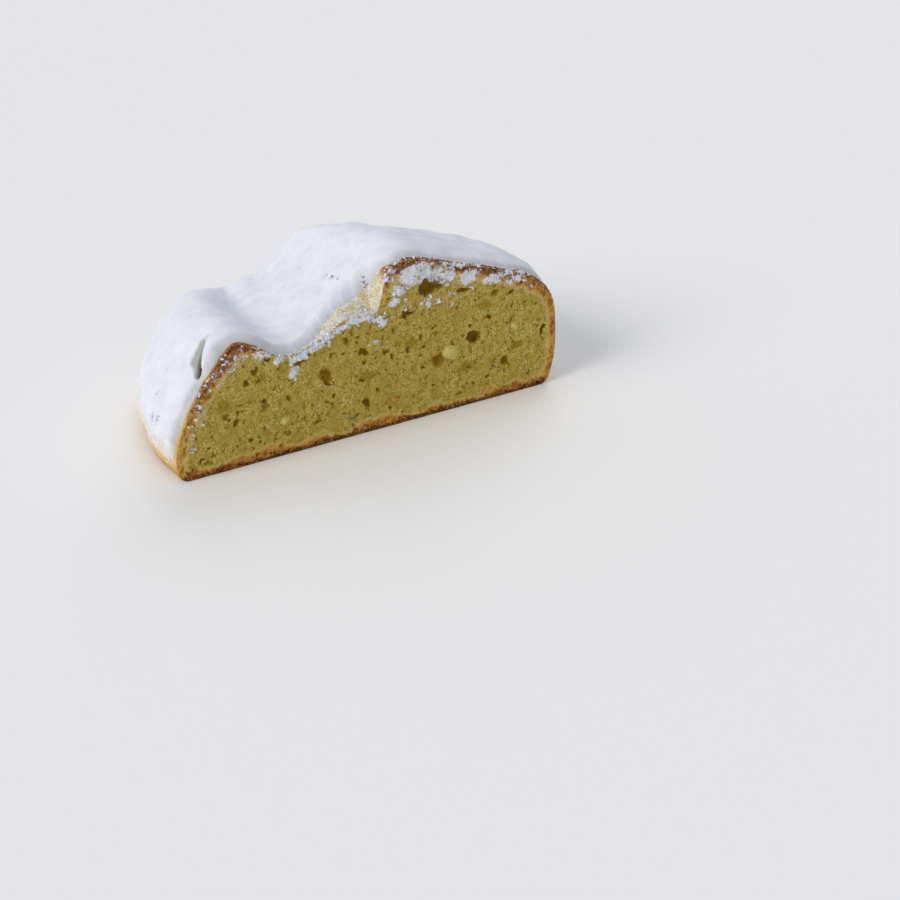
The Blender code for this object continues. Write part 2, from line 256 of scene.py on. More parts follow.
@dataclass(frozen=True)
class CrumbFinish(SoftFinish):
    """Cut yeast dough, torn by the knife: yellow, dull and grainy, with a baked rind and powder on it."""

    # From crumb to pore these tones are a ramp of painted shade for gaps, pits and pores, whose darker end
    # also colours the syrup stains
    crumb: str = "#d6c57e"
    crumb_soft: str = "#b8a24b"
    crumb_shade_and_stain: str = "#a38628"
    pore_shade_and_stain: str = "#83600c"
    dough_skin: str = "#d6c88c"
    rind_gold: str = "#cda045"
    rind_brown: str = "#96602a"
    rind_dark: str = "#4f2e14"
    dust: str = "#e9eaf0"
    roughness: float = 0.88
    shine: float = 0.3
    # Light that has gone about 1.2 mm into the dough comes back warm
    glow: float = 0.1
    glow_reach_mm: float = 1.2
    glow_colour: tuple[float, float, float] = (1.0, 0.62, 0.25)
    # Crumbs of 0.7 mm with gaps between, in softer pressed patches 3.6 mm across
    crumb_mm: float = 0.7
    patch_mm: float = 3.6
    # The powder's grain is drawn coarser than the real one, so that it shows
    powder_mm: float = 0.42
    # The crumbs' outlines are bent by this much, so that none comes out round
    bend_mm: float = 0.55
    # Painted light and shade: the tone of a crumb's middle, lightened as a painted highlight, and of the gaps
    # between crumbs, darkened as painted shade, and of both where the crumb is pressed
    gap_shade: tuple[float, float] = (-0.1, 0.25)
    pressed_shade: float = 0.13
    # How far the baked grains' shades lie apart
    grain_shade: float = 0.8
    # Thick powder lies this much as an even film, besides its specks
    film: float = 0.3

    def material(self) -> bpy.types.Material:
        """Builds the dough's material, read from the mesh's painted shade and stain, bake and dust values.

        Returns:
            The material.
        """
        made, place = self.start("torn_yeast_crumb")
        hollow, bake, dust = (
            add_node(made, "Attribute", {"attribute_name": value}).outputs["Fac"]
            for value in ("hollow", "bake", "dust")
        )
        bend, patch, powder = (
            add_node(made, "TexNoise", {"Scale": waves / (size * MM), "Detail": detail}, {"Vector": place})
            for waves, size, detail in (
                (0.6, self.crumb_mm, 2.0), (1.0, self.patch_mm, 3.0), (1.0, self.powder_mm, 2.0),
            )
        )
        bent = add_node(made, "VectorMath", {"operation": "MULTIPLY_ADD", 1: (self.bend_mm * MM,) * 3},
                        {0: bend.outputs["Color"], 2: place}).outputs["Vector"]
        crumbs = add_node(made, "TexVoronoi", {"Scale": 1.0 / (self.crumb_mm * MM)}, {"Vector": bent})
        # Painted shade darkens the gaps between crumbs and a painted highlight lightens their middles, except
        # where the knife has pressed them together
        middle, between = self.gap_shade
        gap = add_node(made, "MapRange",
                       {"From Min": 0.3, "From Max": 0.75, "To Min": middle, "To Max": between},
                       {"Value": crumbs.outputs["Distance"]})
        pressed = add_node(made, "MapRange", {"From Min": 0.46, "From Max": 0.6},
                           {"Value": patch.outputs["Fac"]})
        shade = add_node(made, "Mix", {"data_type": "FLOAT", 3: self.pressed_shade},
                         {"Factor": pressed.outputs["Result"], 2: gap.outputs["Result"]})
        # Painted shade: recesses, pits, pores and gaps push the crumb along the ramp towards its darkest
        # tone, as the stains do
        depth = add_node(made, "Math", {"operation": "ADD"}, {0: hollow, 1: shade.outputs[0]})
        tones = [(0.04, self.crumb), (0.34, self.crumb_soft), (0.56, self.crumb_shade_and_stain), (1.0, self.pore_shade_and_stain)]
        crumb = add_node(made, "ValToRGB", {"stops": tones}, {"Fac": depth.outputs["Value"]})
        # Crust is speckled: each baked grain took its own shade
        grain = add_node(made, "Math",
                         {"operation": "MULTIPLY_ADD", 1: self.grain_shade, 2: -0.5 * self.grain_shade},
                         {0: crumbs.outputs["Color"]})
        speck = add_node(made, "Math", {"operation": "MULTIPLY_ADD"},
                         {0: grain.outputs["Value"], 1: bake, 2: bake}).outputs["Value"]
        tones = [
            (0.0, self.dough_skin), (0.33, self.rind_gold), (0.66, self.rind_brown), (1.0, self.rind_dark),
        ]
        toast = add_node(made, "ValToRGB", {"stops": tones}, {"Fac": speck})
        baked = add_node(made, "MapRange", {"From Min": 0.0, "From Max": 0.22}, {"Value": speck})
        crusted = add_node(made, "Mix", {"data_type": "RGBA"},
                           {"Factor": baked.outputs["Result"], 6: crumb.outputs["Color"],
                            7: toast.outputs["Color"]})
        # Powder lies as separate specks where it is thin, and closes up where it is thick
        lumps = add_node(made, "Math", {"operation": "MULTIPLY_ADD", 1: 0.5},
                         {0: bend.outputs["Fac"], 2: powder.outputs["Fac"]})
        level = add_node(made, "Math", {"operation": "MULTIPLY_ADD", 1: 0.52},
                         {0: dust, 2: lumps.outputs["Value"]})
        specks = add_node(made, "MapRange", {"From Min": 1.01, "From Max": 1.1},
                          {"Value": level.outputs["Value"]})
        film = add_node(made, "Math", {"operation": "MULTIPLY_ADD", 1: self.film, "use_clamp": True},
                        {0: dust, 2: specks.outputs["Result"]})
        white = add_node(made, "Mix", {"data_type": "RGBA", 7: linear(self.dust)},
                         {"Factor": film.outputs["Value"], 6: crusted.outputs[2]})
        bump = add_node(made, "Bump", {"Strength": 0.55, "Distance": 0.0003, "invert": True},
                        {"Height": crumbs.outputs["Distance"]})
        fine = add_node(made, "Bump", {"Strength": 0.3, "Distance": 0.0002},
                        {"Height": powder.outputs["Fac"], "Normal": bump.outputs["Normal"]})
        return self.surface(made, white.outputs[2], fine.outputs["Normal"])


@dataclass(frozen=True)
class SugarFinish(SoftFinish):
    """Icing sugar pressed onto butter: chalky and bright, soft in its shadows, with painted grey shade beside
    the cut and in its split.
    """

    white: str = "#ebedf6"
    cool: str = "#e0e3ef"
    thin: str = "#ddd3bb"
    greying: str = "#8f867c"
    # Painted grey shade beside the cut and on the split's slope, and the crust seen in the split, painted
    # dark as its shadow
    grey_shade: str = "#9d9e92"
    shadowed_crust: str = "#5f4a35"
    roughness: float = 0.93
    ior: float = 1.45
    shine: float = 0.25
    # The powder passes light for about 1 mm, which softens every edge
    glow: float = 0.35
    glow_reach_mm: float = 1.0
    glow_colour: tuple[float, float, float] = (1.0, 0.95, 0.9)
    # Faint clouds 5 mm across, and powder grain drawn coarser than the real one, so that it shows
    cloud_mm: float = 5.0
    powder_mm: float = 0.4
    # Small cracks in the sugar show as ragged grey-tan ticks of about this length
    tick_mm: float = 0.7

    def material(self, name: str) -> bpy.types.Material:
        """Builds the sugar's material, read from the mesh's cover, crack and painted shade values.

        Args:
            name: the material's name.

        Returns:
            The material.
        """
        made, place = self.start(name)
        cover, crack, wet = (
            add_node(made, "Attribute", {"attribute_name": value}).outputs["Fac"]
            for value in ("cover", "crack", "wet")
        )
        cloud, powder, ticks = (
            add_node(made, "TexNoise", {"Scale": 1.0 / (size * MM), "Detail": detail}, {"Vector": place})
            for size, detail in ((self.cloud_mm, 6.0), (self.powder_mm, 3.0), (self.tick_mm, 3.0))
        )
        tone = add_node(made, "ValToRGB", {"stops": [(0.3, self.cool), (0.62, self.white)]},
                        {"Fac": cloud.outputs["Fac"]})
        # Low on the walls the coat thins to separate specks, and the dough shows between them
        level = add_node(made, "Math", {"operation": "MULTIPLY_ADD", 1: 0.5},
                         {0: cover, 2: powder.outputs["Fac"]})
        whole = add_node(made, "MapRange", {"From Min": 0.54, "From Max": 0.8},
                         {"Value": level.outputs["Value"]})
        # Up to 1 the value lays painted grey shade on the sugar, and from 1 to 2 it turns to the split's
        # crust, painted dark as shadow
        shown = add_node(made, "MapRange", {"From Min": 1.0, "From Max": 2.0}, {"Value": wet})
        ragged = add_node(made, "Math", {"operation": "MULTIPLY_ADD", 1: 0.3},
                          {0: crack, 2: ticks.outputs["Fac"]})
        tick = add_node(made, "MapRange", {"From Min": 0.76, "From Max": 0.9},
                        {"Value": ragged.outputs["Value"]})
        colour = add_node(made, "Mix", {"data_type": "RGBA", 6: linear(self.thin)},
                          {"Factor": whole.outputs["Result"], 7: tone.outputs["Color"]})
        # Painted grey shade, then the split's crust painted dark as shadow, then the cracks' grey ticks
        for over, share in (
            (self.grey_shade, wet), (self.shadowed_crust, shown.outputs["Result"]), (self.greying, tick.outputs["Result"]),
        ):
            colour = add_node(made, "Mix", {"data_type": "RGBA", 7: linear(over)},
                              {"Factor": share, 6: colour.outputs[2]})
        bump = add_node(made, "Bump", {"Strength": 0.6, "Distance": 0.00022},
                        {"Height": powder.outputs["Fac"]})
        return self.surface(made, colour.outputs[2], bump.outputs["Normal"])


@dataclass(frozen=True)
class PeelFinish(SoftFinish):
    """Candied citrus peel: boiled in syrup, so it's clear like jelly and shines a little."""

    colour: str = "#d8c468"
    roughness: float = 0.38
    ior: float = 1.47
    glow: float = 0.5
    glow_reach_mm: float = 2.0
    glow_colour: tuple[float, float, float] = (1.0, 0.8, 0.2)
    # Veins as far apart as the peel's oil cells leave them, and the least and greatest brightness they give
    vein_mm: float = 0.8
    vein_light: tuple[float, float] = (0.75, 1.2)

    def material(self, name: str) -> bpy.types.Material:
        """Builds the peel's material.

        Args:
            name: the material's name.

        Returns:
            The material.
        """
        made, place = self.start(name)
        vein = add_node(made, "TexNoise", {"Scale": 1.0 / (self.vein_mm * MM), "Detail": 2.0},
                        {"Vector": place})
        dim, bright = self.vein_light
        light = add_node(made, "MapRange", {"To Min": dim, "To Max": bright}, {"Value": vein.outputs["Fac"]})
        tone = add_node(made, "HueSaturation", {"Color": linear(self.colour)},
                        {"Value": light.outputs["Result"]})
        bump = add_node(made, "Bump", {"Strength": 0.4, "Distance": 0.0002}, {"Height": vein.outputs["Fac"]})
        return self.surface(made, tone.outputs["Color"], bump.outputs["Normal"])


def make_piece(
    name: str,
    points: np.ndarray,
    triangles: np.ndarray,
    material: bpy.types.Material,
    values: dict[str, np.ndarray] | None = None,
) -> bpy.types.Object:
    """Makes a smooth mesh piece from points and triangles.

    Args:
        name: the piece's name.
        points: places in millimetres, in the row's frame.
        triangles: point numbers, three a row, counted round as seen from outside.
        material: the piece's material.
        values: numbers for each point that the material reads, by name.

    Returns:
        The new object.
    """
    mesh = bpy.data.meshes.new(name)
    mesh.vertices.add(len(points))
    mesh.vertices.foreach_set("co", (points * MM).astype(np.float32).ravel())
    mesh.loops.add(triangles.size)
    mesh.loops.foreach_set("vertex_index", triangles.astype(np.int32).ravel())
    mesh.polygons.add(len(triangles))
    mesh.polygons.foreach_set("loop_start", np.arange(0, triangles.size, 3, dtype=np.int32))
    mesh.update(calc_edges=True)
    mesh.shade_smooth()
    for key, numbers in (values or {}).items():
        layer = mesh.attributes.new(key, "FLOAT", "POINT")
        layer.data.foreach_set("value", numbers.astype(np.float32))
    mesh.materials.append(material)
    piece = bpy.data.objects.new(name, mesh)
    bpy.context.scene.collection.objects.link(piece)
    return piece


def grid_triangles(rows: int, columns: int) -> np.ndarray:
    """Splits a grid of points into triangles, which face whoever sees rows run up and columns run right.

    Args:
        rows: the number of rows of points.
        columns: the number of points in a row.

    Returns:
        Point numbers, three a row.
    """
    a = (np.arange(rows - 1)[:, None] * columns + np.arange(columns - 1)[None, :]).ravel()
    b, c, d = a + 1, a + columns, a + columns + 1
    return np.concatenate([np.stack([a, b, d], 1), np.stack([a, d, c], 1)])


@dataclass
class LoafForm:
    """The loaf's own form, from the same named sizes as its solids, in millimetres."""

    length: float = 82.0
    front_y: float = -41.5
    plan_bluntness: float = 2.36
    crown_bluntness: float = 2.05
    low_side: tuple[float, float] = (-30.0, 5.0)
    low_lobe_sink: float = 0.13
    # Humps that rise towards the tip: across, half width, height, run
    humps: tuple = (
        (-54.0, 9.0, 1.8, (8.0, 30.0)), (-22.0, 6.0, 4.5, (25.0, 60.0)), (3.0, 8.0, 4.5, (30.0, 62.0)),
    )
    # The dome that the folds fade into: height, middle, half width, squareness, fullness
    dome: tuple[float, float, float, float, float] = (49.0, 6.0, 76.0, 2.4, 0.55)
    dome_run: tuple[float, float] = (54.0, 82.0)
    dome_up: tuple[float, float] = (20.0, 32.0)
    dome_share: float = 0.85
    # The walls' bulge behind the cut: how far, how high up, how far down and up it fades, over what run
    bulge: tuple[float, float, float, float, float] = (2.3, 12.0, 24.0, 26.0, 16.0)
    tip_height: float = 9.0
    foot_rounding: float = 8.0
    tip_x: float = 6.0
    middle: tuple[float, float, float] = (1.4, -0.3, 0.0)
    # The section at the cut, from the low lobe's foot over the crown to the high lobe's foot
    low_wall: tuple = ((-62.8, 0.0), (-65.3, 2.2), (-65.6, 9.0), (-62.4, 19.0), (-57.8, 27.5), (-52.4, 35.0))
    low_lobe: tuple = ((-48.6, 38.8), (-43.8, 41.2), (-38.5, 39.2))
    fold: tuple = ((-33.0, 34.6), (-26.5, 33.2), (-19.0, 35.6))
    step: tuple = ((-11.5, 40.2), (-4.0, 44.6), (2.5, 50.0))
    high_lobe: tuple = ((8.5, 55.2), (15.0, 56.0), (25.0, 53.0), (36.0, 49.3), (47.0, 45.1), (56.6, 41.2))
    high_wall: tuple = ((62.8, 36.4), (66.6, 28.6), (67.4, 19.0), (67.0, 8.5), (65.6, 2.2), (62.8, 0.0))
    # The broken ledge of the step: from and to across, height, slope, and where its back wall starts and ends
    ledge_across: tuple[float, float] = (-16.0, 4.0)
    ledge_height: float = 40.6
    ledge_slope: float = 0.18
    ledge_run: tuple[float, float] = (3.5, 10.0)
    swell: tuple[float, float] = (0.9, 21.0)
    crag: tuple[float, float] = (0.25, 6.0)
    # The split in the sugar on the low lobe's shoulder: across, behind the cut, half width
    split: tuple = ((-54.0, 3.2, 1.1), (-51.8, 5.8, 1.3), (-47.2, 9.8, 0.35))
    split_slope: tuple = ((-53.9, 4.0, 0.9), (-52.0, 8.4, 1.9), (-49.2, 10.2, 1.2))
    # Where the split's edge fades, as shares of its half width, and the height that it stays above
    split_fade: tuple[float, float] = (0.7, 1.15)
    split_above: float = 24.0
    # The swellings fade out towards the floor between these heights
    settle: tuple[float, float] = (2.0, 14.0)
    # How softly the ledge starts and ends across, and the height that it stays above
    ledge_ends: tuple[float, float] = (4.0, 2.5)
    ledge_above: float = 25.0
    # Outward directions are read over these steps round and along, and up to this share along the loaf
    probe: tuple[float, float] = (0.004, 0.01)
    last_share: float = 0.985
    # The crown, as against the walls, is above this height or within this of the middle
    crown_from: tuple[float, float] = (20.0, 60.0)
    # Each wall is within this share of the section, counted from its foot
    wall_share: float = 0.2
    curve: np.ndarray = field(init=False)
    run: np.ndarray = field(init=False)

    def __post_init__(self) -> None:
        """Draws the smooth outline through the section's landmarks."""
        low_half = self.low_wall + self.low_lobe + self.fold
        marks = np.array(low_half + self.step + self.high_lobe + self.high_wall)
        ends = np.concatenate([marks[:1], marks, marks[-1:]])
        share = (np.arange(24) / 24.0)[None, :, None]
        p, q, r, s = (ends[i:len(ends) - 3 + i, None, :] for i in range(4))
        rise = (r - p) * share + (2.0 * p - 5.0 * q + 4.0 * r - s) * share ** 2
        curve = 0.5 * (2.0 * q + rise + (3.0 * q - p - 3.0 * r + s) * share ** 3)
        self.curve = np.concatenate([curve.reshape(-1, 2), marks[-1:]])
        steps = np.linalg.norm(np.diff(self.curve, axis=0), axis=1)
        self.run = np.concatenate([[0.0], np.cumsum(steps)])

    def outline(self, share: np.ndarray) -> tuple[np.ndarray, np.ndarray]:
        """The section's points at shares of its length, from the low foot to the high foot.

        Args:
            share: shares from 0 to 1.

        Returns:
            Places across and heights.
        """
        at = np.clip(share, 0.0, 1.0) * self.run[-1]
        return np.interp(at, self.run, self.curve[:, 0]), np.interp(at, self.run, self.curve[:, 1])

    def share_at_x(self, x: float) -> float:
        """The share of the section at which its crown passes a place across."""
        height, half = self.crown_from
        crown = (self.curve[:, 1] > height) | (np.abs(self.curve[:, 0]) < half)
        return float(np.interp(x, self.curve[crown, 0], self.run[crown])) / self.run[-1]

    def share_at_height(self, height: np.ndarray, high_side: bool) -> np.ndarray:
        """The share of the section at which a side wall reaches a height.

        Args:
            height: heights in millimetres.
            high_side: whether the high lobe's wall is meant.

        Returns:
            Shares of the section's length.
        """
        start, end = (1.0 - self.wall_share, 1.0) if high_side else (0.0, self.wall_share)
        share = np.linspace(start, end, 300)
        up = self.outline(share)[1]
        order = np.argsort(up)
        return np.interp(height, up[order], share[order])

    def along_at(self, behind: np.ndarray) -> np.ndarray:
        """The share along the loaf that stands a distance behind the cut."""
        share = np.clip(behind / self.length, 0.0, 1.0)
        return np.arcsin(share ** (self.plan_bluntness / 2.0)) * 2.0 / math.pi

    def shaped(self, x: np.ndarray, z: np.ndarray, along: np.ndarray) -> np.ndarray:
        """Carries points of the section to stations along the loaf.

        Args:
            x: places across, in the section.
            z: heights, in the section.
            along: shares along the loaf.

        Returns:
            Places in millimetres, one a row.
        """
        angle = along * math.pi / 2.0
        behind = self.length * np.sin(angle) ** (2.0 / self.plan_bluntness)
        width = np.maximum(0.0, np.cos(angle)) ** (2.0 / self.plan_bluntness)
        crown = np.maximum(0.0, 1.0 - (behind / self.length) ** self.crown_bluntness)
        crown = crown ** (1.0 / self.crown_bluntness)
        past = np.maximum(0.0, (behind - self.length + self.foot_rounding) / self.foot_rounding)
        foot = np.sqrt(np.maximum(0.0, 1.0 - past ** 2))
        upper = z > self.tip_height
        low_side = 1.0 - smooth_step(*self.low_side, x)
        lift = np.where(upper, crown * (1.0 - self.low_lobe_sink * low_side * behind / self.length), foot)
        high, middle, half, squareness, fullness = self.dome
        inside = np.maximum(0.0, 1.0 - np.abs((x - middle) / half) ** squareness)
        fade = self.dome_share * smooth_step(*self.dome_run, behind) * smooth_step(*self.dome_up, z)
        raised = z + (high * inside ** fullness - z) * fade
        for across, half_width, height, run in self.humps:
            raised += height * np.exp(-(((x - across) / half_width) ** 2)) * smooth_step(*run, behind)
        z = np.where(upper, raised, z)
        outward = (x - self.tip_x) / self.high_wall[2][0]
        reach, centre, down, up, run = self.bulge
        bulge = reach * smooth_step(0.0, run, behind)
        bulge = bulge * np.exp(-(((z - centre) / np.where(z > centre, up, down)) ** 2) * 2.0)
        return np.stack([
            self.tip_x + (x - self.tip_x + outward * bulge) * width,
            self.front_y + behind,
            self.tip_height + (z - self.tip_height) * lift,
        ], 1)

    def outward(self, share: np.ndarray, along: np.ndarray) -> np.ndarray:
        """The smooth loaf's outward directions at shares round the section and along the loaf."""
        round_step, long_step = self.probe
        near, far = np.maximum(0.0, along - long_step), np.minimum(self.last_share, along + long_step)
        left, right = np.maximum(0.0, share - round_step), np.minimum(1.0, share + round_step)
        station = np.minimum(along, self.last_share)
        round_way = self.shaped(*self.outline(right), station) - self.shaped(*self.outline(left), station)
        long_way = self.shaped(*self.outline(share), far) - self.shaped(*self.outline(share), near)
        out = np.cross(round_way, long_way)
        return out / np.linalg.norm(out, axis=1, keepdims=True)

    def crust(self, share: np.ndarray, along: np.ndarray) -> np.ndarray:
        """The crust's points, with the dough's swellings and the broken ledge.

        Args:
            share: shares round the section.
            along: shares along the loaf.

        Returns:
            Places in millimetres, one a row.
        """
        place = self.shaped(*self.outline(share), along)
        low = place / self.swell[1] + np.array([3.1, 0.0, 7.7])
        fine = place / self.crag[1] + np.array([0.0, 9.2, 1.4])
        rise = self.swell[0] * swells(low)
        rise += self.crag[0] * swells(fine)
        settle = smooth_step(*self.settle, place[:, 2])
        place += self.outward(share, along) * (rise * settle)[:, None]
        start, end = self.ledge_across
        rise_half, fall_half = self.ledge_ends
        behind = place[:, 1] - self.front_y
        above = np.maximum(0.0, place[:, 2] - self.ledge_height - self.ledge_slope * behind)
        keep = smooth_step(start - rise_half, start + rise_half, place[:, 0])
        keep *= 1.0 - smooth_step(end - fall_half, end + fall_half, place[:, 0])
        keep *= 1.0 - smooth_step(*self.ledge_run, behind)
        place[:, 2] -= np.where(place[:, 2] > self.ledge_above, above * keep, 0.0)
        return place

    def split_at(self, place: np.ndarray, line: tuple, ragged: np.ndarray) -> np.ndarray:
        """How far places lie within the split, or within the slope beside it.

        Args:
            place: points in millimetres.
            line: its middle line's points, as across, behind the cut and half width.
            ragged: how far its edge wanders at each.

        Returns:
            1 within it, 0 outside, and less than 1 at its edge.
        """
        x, behind = place[:, 0], place[:, 1] - self.front_y
        found = np.zeros(len(place))
        for (ax, ab, near), (bx, bb, far) in zip(line, line[1:]):
            share = ((x - ax) * (bx - ax) + (behind - ab) * (bb - ab)) / ((bx - ax) ** 2 + (bb - ab) ** 2)
            share = np.clip(share, 0.0, 1.0)
            away = np.hypot(x - ax - share * (bx - ax), behind - ab - share * (bb - ab)) + ragged
            width = near + (far - near) * share
            found = np.maximum(found, 1.0 - smooth_step(*self.split_fade, away / width))
        return found * (place[:, 2] > self.split_above)

    def settled(self, place: np.ndarray) -> np.ndarray:
        """Moves places from the section's numbers to the row's frame."""
        return place - np.array(self.middle)


@dataclass
class CrumbRelief:
    """A map of how deep the torn crumb lies behind the cut, on a fine grid over the cut plane.

    The solid repeats the hollows' places and draws the pits the same way, so both lie one on the other.
    """

    cell: float = 0.16
    low: tuple[float, float] = (-72.0, -2.0)
    high: tuple[float, float] = (72.0, 60.0)
    # Hollows that the solid has too: across, up, radius, depth
    hollows: tuple = (
        (20.9, 45.3, 3.9, 2.8), (12.5, 38.0, 1.9, 1.4), (36.7, 23.8, 2.5, 2.3), (23.0, 19.4, 1.9, 0.3),
        (-2.3, 28.3, 1.4, 1.0), (-15.4, 23.4, 2.4, 1.1), (-39.0, 30.8, 1.4, 0.9), (-46.0, 15.0, 1.5, 0.9),
        (-2.0, 10.0, 1.8, 1.2), (48.0, 12.0, 1.7, 1.1),
    )
    # Finer marks that show: across, up, half width, depth, turn, length over width
    marks: tuple = (
        (13.0, 37.4, 0.55, 1.5, 0.12, 7.0), (42.5, 29.7, 0.7, 1.0, 0.5, 1.6),
        (29.5, 16.9, 0.6, 0.9, 0.0, 1.5), (50.4, 32.4, 0.5, 0.9, 1.2, 1.8),
        (63.0, 20.4, 1.0, 1.3, 1.4, 1.5), (-15.1, 20.7, 0.7, 1.2, 2.3, 2.6),
        (-13.4, 15.8, 0.6, 1.1, 1.2, 1.6), (-3.4, 18.5, 0.6, 0.9, 0.6, 1.5),
        (-2.9, 24.1, 0.5, 0.8, 0.0, 1.6), (-37.0, 20.1, 0.8, 1.0, 2.6, 1.8),
        (-9.3, 29.6, 0.5, 0.8, 1.0, 1.4), (-35.3, 34.0, 0.7, 1.0, 0.2, 1.6),
        (-42.3, 27.8, 0.8, 0.9, 1.9, 1.6), (-48.0, 16.9, 0.6, 0.8, 0.4, 1.5),
        (32.3, 41.3, 0.9, 1.0, 0.1, 3.2), (5.0, 26.4, 0.5, 0.9, 0.2, 2.4),
        (18.2, 25.0, 0.5, 0.8, 0.7, 1.8), (22.0, 31.0, 0.45, 0.8, 1.5, 1.6),
    )
    # Bits of peel that no pit comes near: across, up, half size
    peel: tuple = ((27.8, 20.6, 2.0), (-30.0, 12.0, 1.8), (8.0, 9.0, 1.9), (52.0, 24.0, 1.7))
    # Pits at the solid's own random places: how many, radius, depth
    pit_count: int = 26
    pit_radius: tuple[float, float] = (0.8, 1.5)
    pit_depth: tuple[float, float] = (0.4, 0.9)
    # Pores by size: how many, least and greatest half width, least and greatest depth
    pores: tuple = ((120, 0.35, 0.75, 0.3, 0.8), (1300, 0.16, 0.36, 0.25, 0.6))
    # Crumbs that stand proud of the cut, likewise
    crumbs: tuple = ((520, 0.4, 0.9, 0.15, 0.42), (2400, 0.2, 0.42, 0.12, 0.3))
    # The grain's hills: height and size
    grain: tuple[tuple[float, float], ...] = ((0.28, 4.2), (0.17, 1.9), (0.17, 0.9), (0.12, 0.5))
    # Creases between the grains: depth, spacing, and the size of the areas that have them
    crease: tuple[float, float, float] = (0.2, 1.7, 4.0)
    # The warp that makes every outline uneven: how far it moves places, over what size
    warp: tuple[tuple[float, float], ...] = ((1.1, 3.4), (0.6, 1.3), (0.35, 0.6))
    # Where pits and pores may lie across and up, and how much longer than wide a pore is
    pit_field: tuple[tuple[float, float], ...] = ((-62.0, 62.0), (3.0, 52.0))
    pore_field: tuple[tuple[float, float], ...] = ((-66.0, 66.0), (0.0, 57.0))
    pore_length: tuple[float, float] = (1.0, 1.9)
    # Painted shade: a place is shaded by how far it lies recessed against the mean this many cells round it,
    # and by this share of its pit
    mean_cells: int = 11
    pit_shade: float = 0.5
    bent_x: np.ndarray = field(init=False)
    bent_z: np.ndarray = field(init=False)
    depth: np.ndarray = field(init=False)
    recess_shade: np.ndarray = field(init=False)

    def __post_init__(self) -> None:
        """Lays the grain, stamps the hollows and pores, and works out the painted shade of how recessed each
        place is.
        """
        columns = int((self.high[0] - self.low[0]) / self.cell) + 1
        rows = int((self.high[1] - self.low[1]) / self.cell) + 1
        x = self.low[0] + np.arange(columns)[None, :] * self.cell + np.zeros((rows, 1))
        z = self.low[1] + np.arange(rows)[:, None] * self.cell + np.zeros((1, columns))
        flat = on_cut(x.ravel(), z.ravel())
        self.bent_x = x + self.warped(flat, SEED).reshape(x.shape)
        self.bent_z = z + self.warped(flat, SEED + 2).reshape(x.shape)
        hills = Hills(SEED + 9)
        body = np.zeros(x.size)
        for height, size in self.grain:
            body += height * hills.at(flat, size)
        # Torn crumb parts along short creases between its grains
        sunk, spacing, area = self.crease
        line = 1.0 - np.minimum(1.0, 3.0 * np.abs(Hills(SEED + 10).at(flat, spacing)))
        body += sunk * line ** 2 * smooth_step(-0.2, 0.4, Hills(SEED + 16).at(flat, area))
        self.depth = body.reshape(x.shape)
        pits, proud = np.zeros_like(self.depth), np.zeros_like(self.depth)
        for across, up, radius, depth in self.hollows + self.solid_pits():
            # A turn that follows the radius differs from pit to pit
            self.stamp(pits, (across, up), (radius, depth), 2.3 * radius, 1.2)
        for across, up, radius, depth, turn, long in self.marks:
            self.stamp(pits, (across, up), (radius, depth), turn, long)
        draw = random.Random(SEED + 8)
        for target, kinds in ((pits, self.pores), (proud, self.crumbs)):
            for count, least, most, shallow, deep in kinds:
                for _ in range(count):
                    spot = tuple(draw.uniform(*span) for span in self.pore_field)
                    turn, long = draw.uniform(0.0, math.pi), draw.uniform(*self.pore_length)
                    size = (draw.uniform(least, most), draw.uniform(shallow, deep))
                    self.stamp(target, spot, size, turn, long)
        self.depth += pits - proud
        # Painted shade for the crumb's colour, by how recessed each place is and how deep its pit
        self.recess_shade = self.depth - self.blurred(self.depth, self.mean_cells)
        self.recess_shade = self.recess_shade + self.pit_shade * pits

    def warped(self, flat: np.ndarray, seed: int) -> np.ndarray:
        """How far the warp moves places one way, its coarse part by one set of hills and the rest by another.

        Args:
            flat: places on the cut plane.
            seed: the first set's seed.

        Returns:
            Distances in millimetres.
        """
        coarse, fine = Hills(seed), Hills(seed + 1)
        parts = zip((coarse, fine, fine), self.warp)
        return sum(reach * hills.at(flat, size) for hills, (reach, size) in parts)

    def solid_pits(self) -> tuple:
        """The solid's own random pits, drawn in the same order.

        Returns:
            Each pit's place across, height, radius and depth.
        """
        draw = random.Random(SEED)
        kept = [(x, z, radius) for x, z, radius, _ in self.hollows] + list(self.peel)
        pits = []
        while len(pits) < self.pit_count:
            x, z = (draw.uniform(*span) for span in self.pit_field)
            radius, depth = draw.uniform(*self.pit_radius), draw.uniform(*self.pit_depth)
            if all(math.hypot(x - a, z - b) > radius + r for a, b, r in kept):
                kept.append((x, z, radius))
                pits.append((x, z, radius, depth))
        return tuple(pits)

    def stamp(
        self,
        pits: np.ndarray,
        spot: tuple[float, float],
        size: tuple[float, float],
        turn: float,
        long: float,
    ) -> None:
        """Presses one hollow into the map, its outline bent by the warp.

        Args:
            pits: the map of pits, changed in place.
            spot: the hollow's middle across and up.
            size: its half width and its depth.
            turn: the angle of its long way.
            long: its length over its width.
        """
        (x, z), (radius, depth) = spot, size
        # The window holds the hollow's fading edge, and as far again as the warp may move it
        reach = radius * long * 1.4 + 2.2
        i0, i1 = (int((v - self.low[1]) / self.cell) for v in (z - reach, z + reach))
        j0, j1 = (int((v - self.low[0]) / self.cell) for v in (x - reach, x + reach))
        window = (slice(max(0, i0), max(0, i1)), slice(max(0, j0), max(0, j1)))
        dx, dz = self.bent_x[window] - x, self.bent_z[window] - z
        across = (dx * math.cos(turn) + dz * math.sin(turn)) / (radius * long)
        over = (dz * math.cos(turn) - dx * math.sin(turn)) / radius
        away = np.sqrt(across ** 2 + over ** 2)
        pits[window] = np.maximum(pits[window], depth * (1.0 - smooth_step(0.4, 1.1, away)))

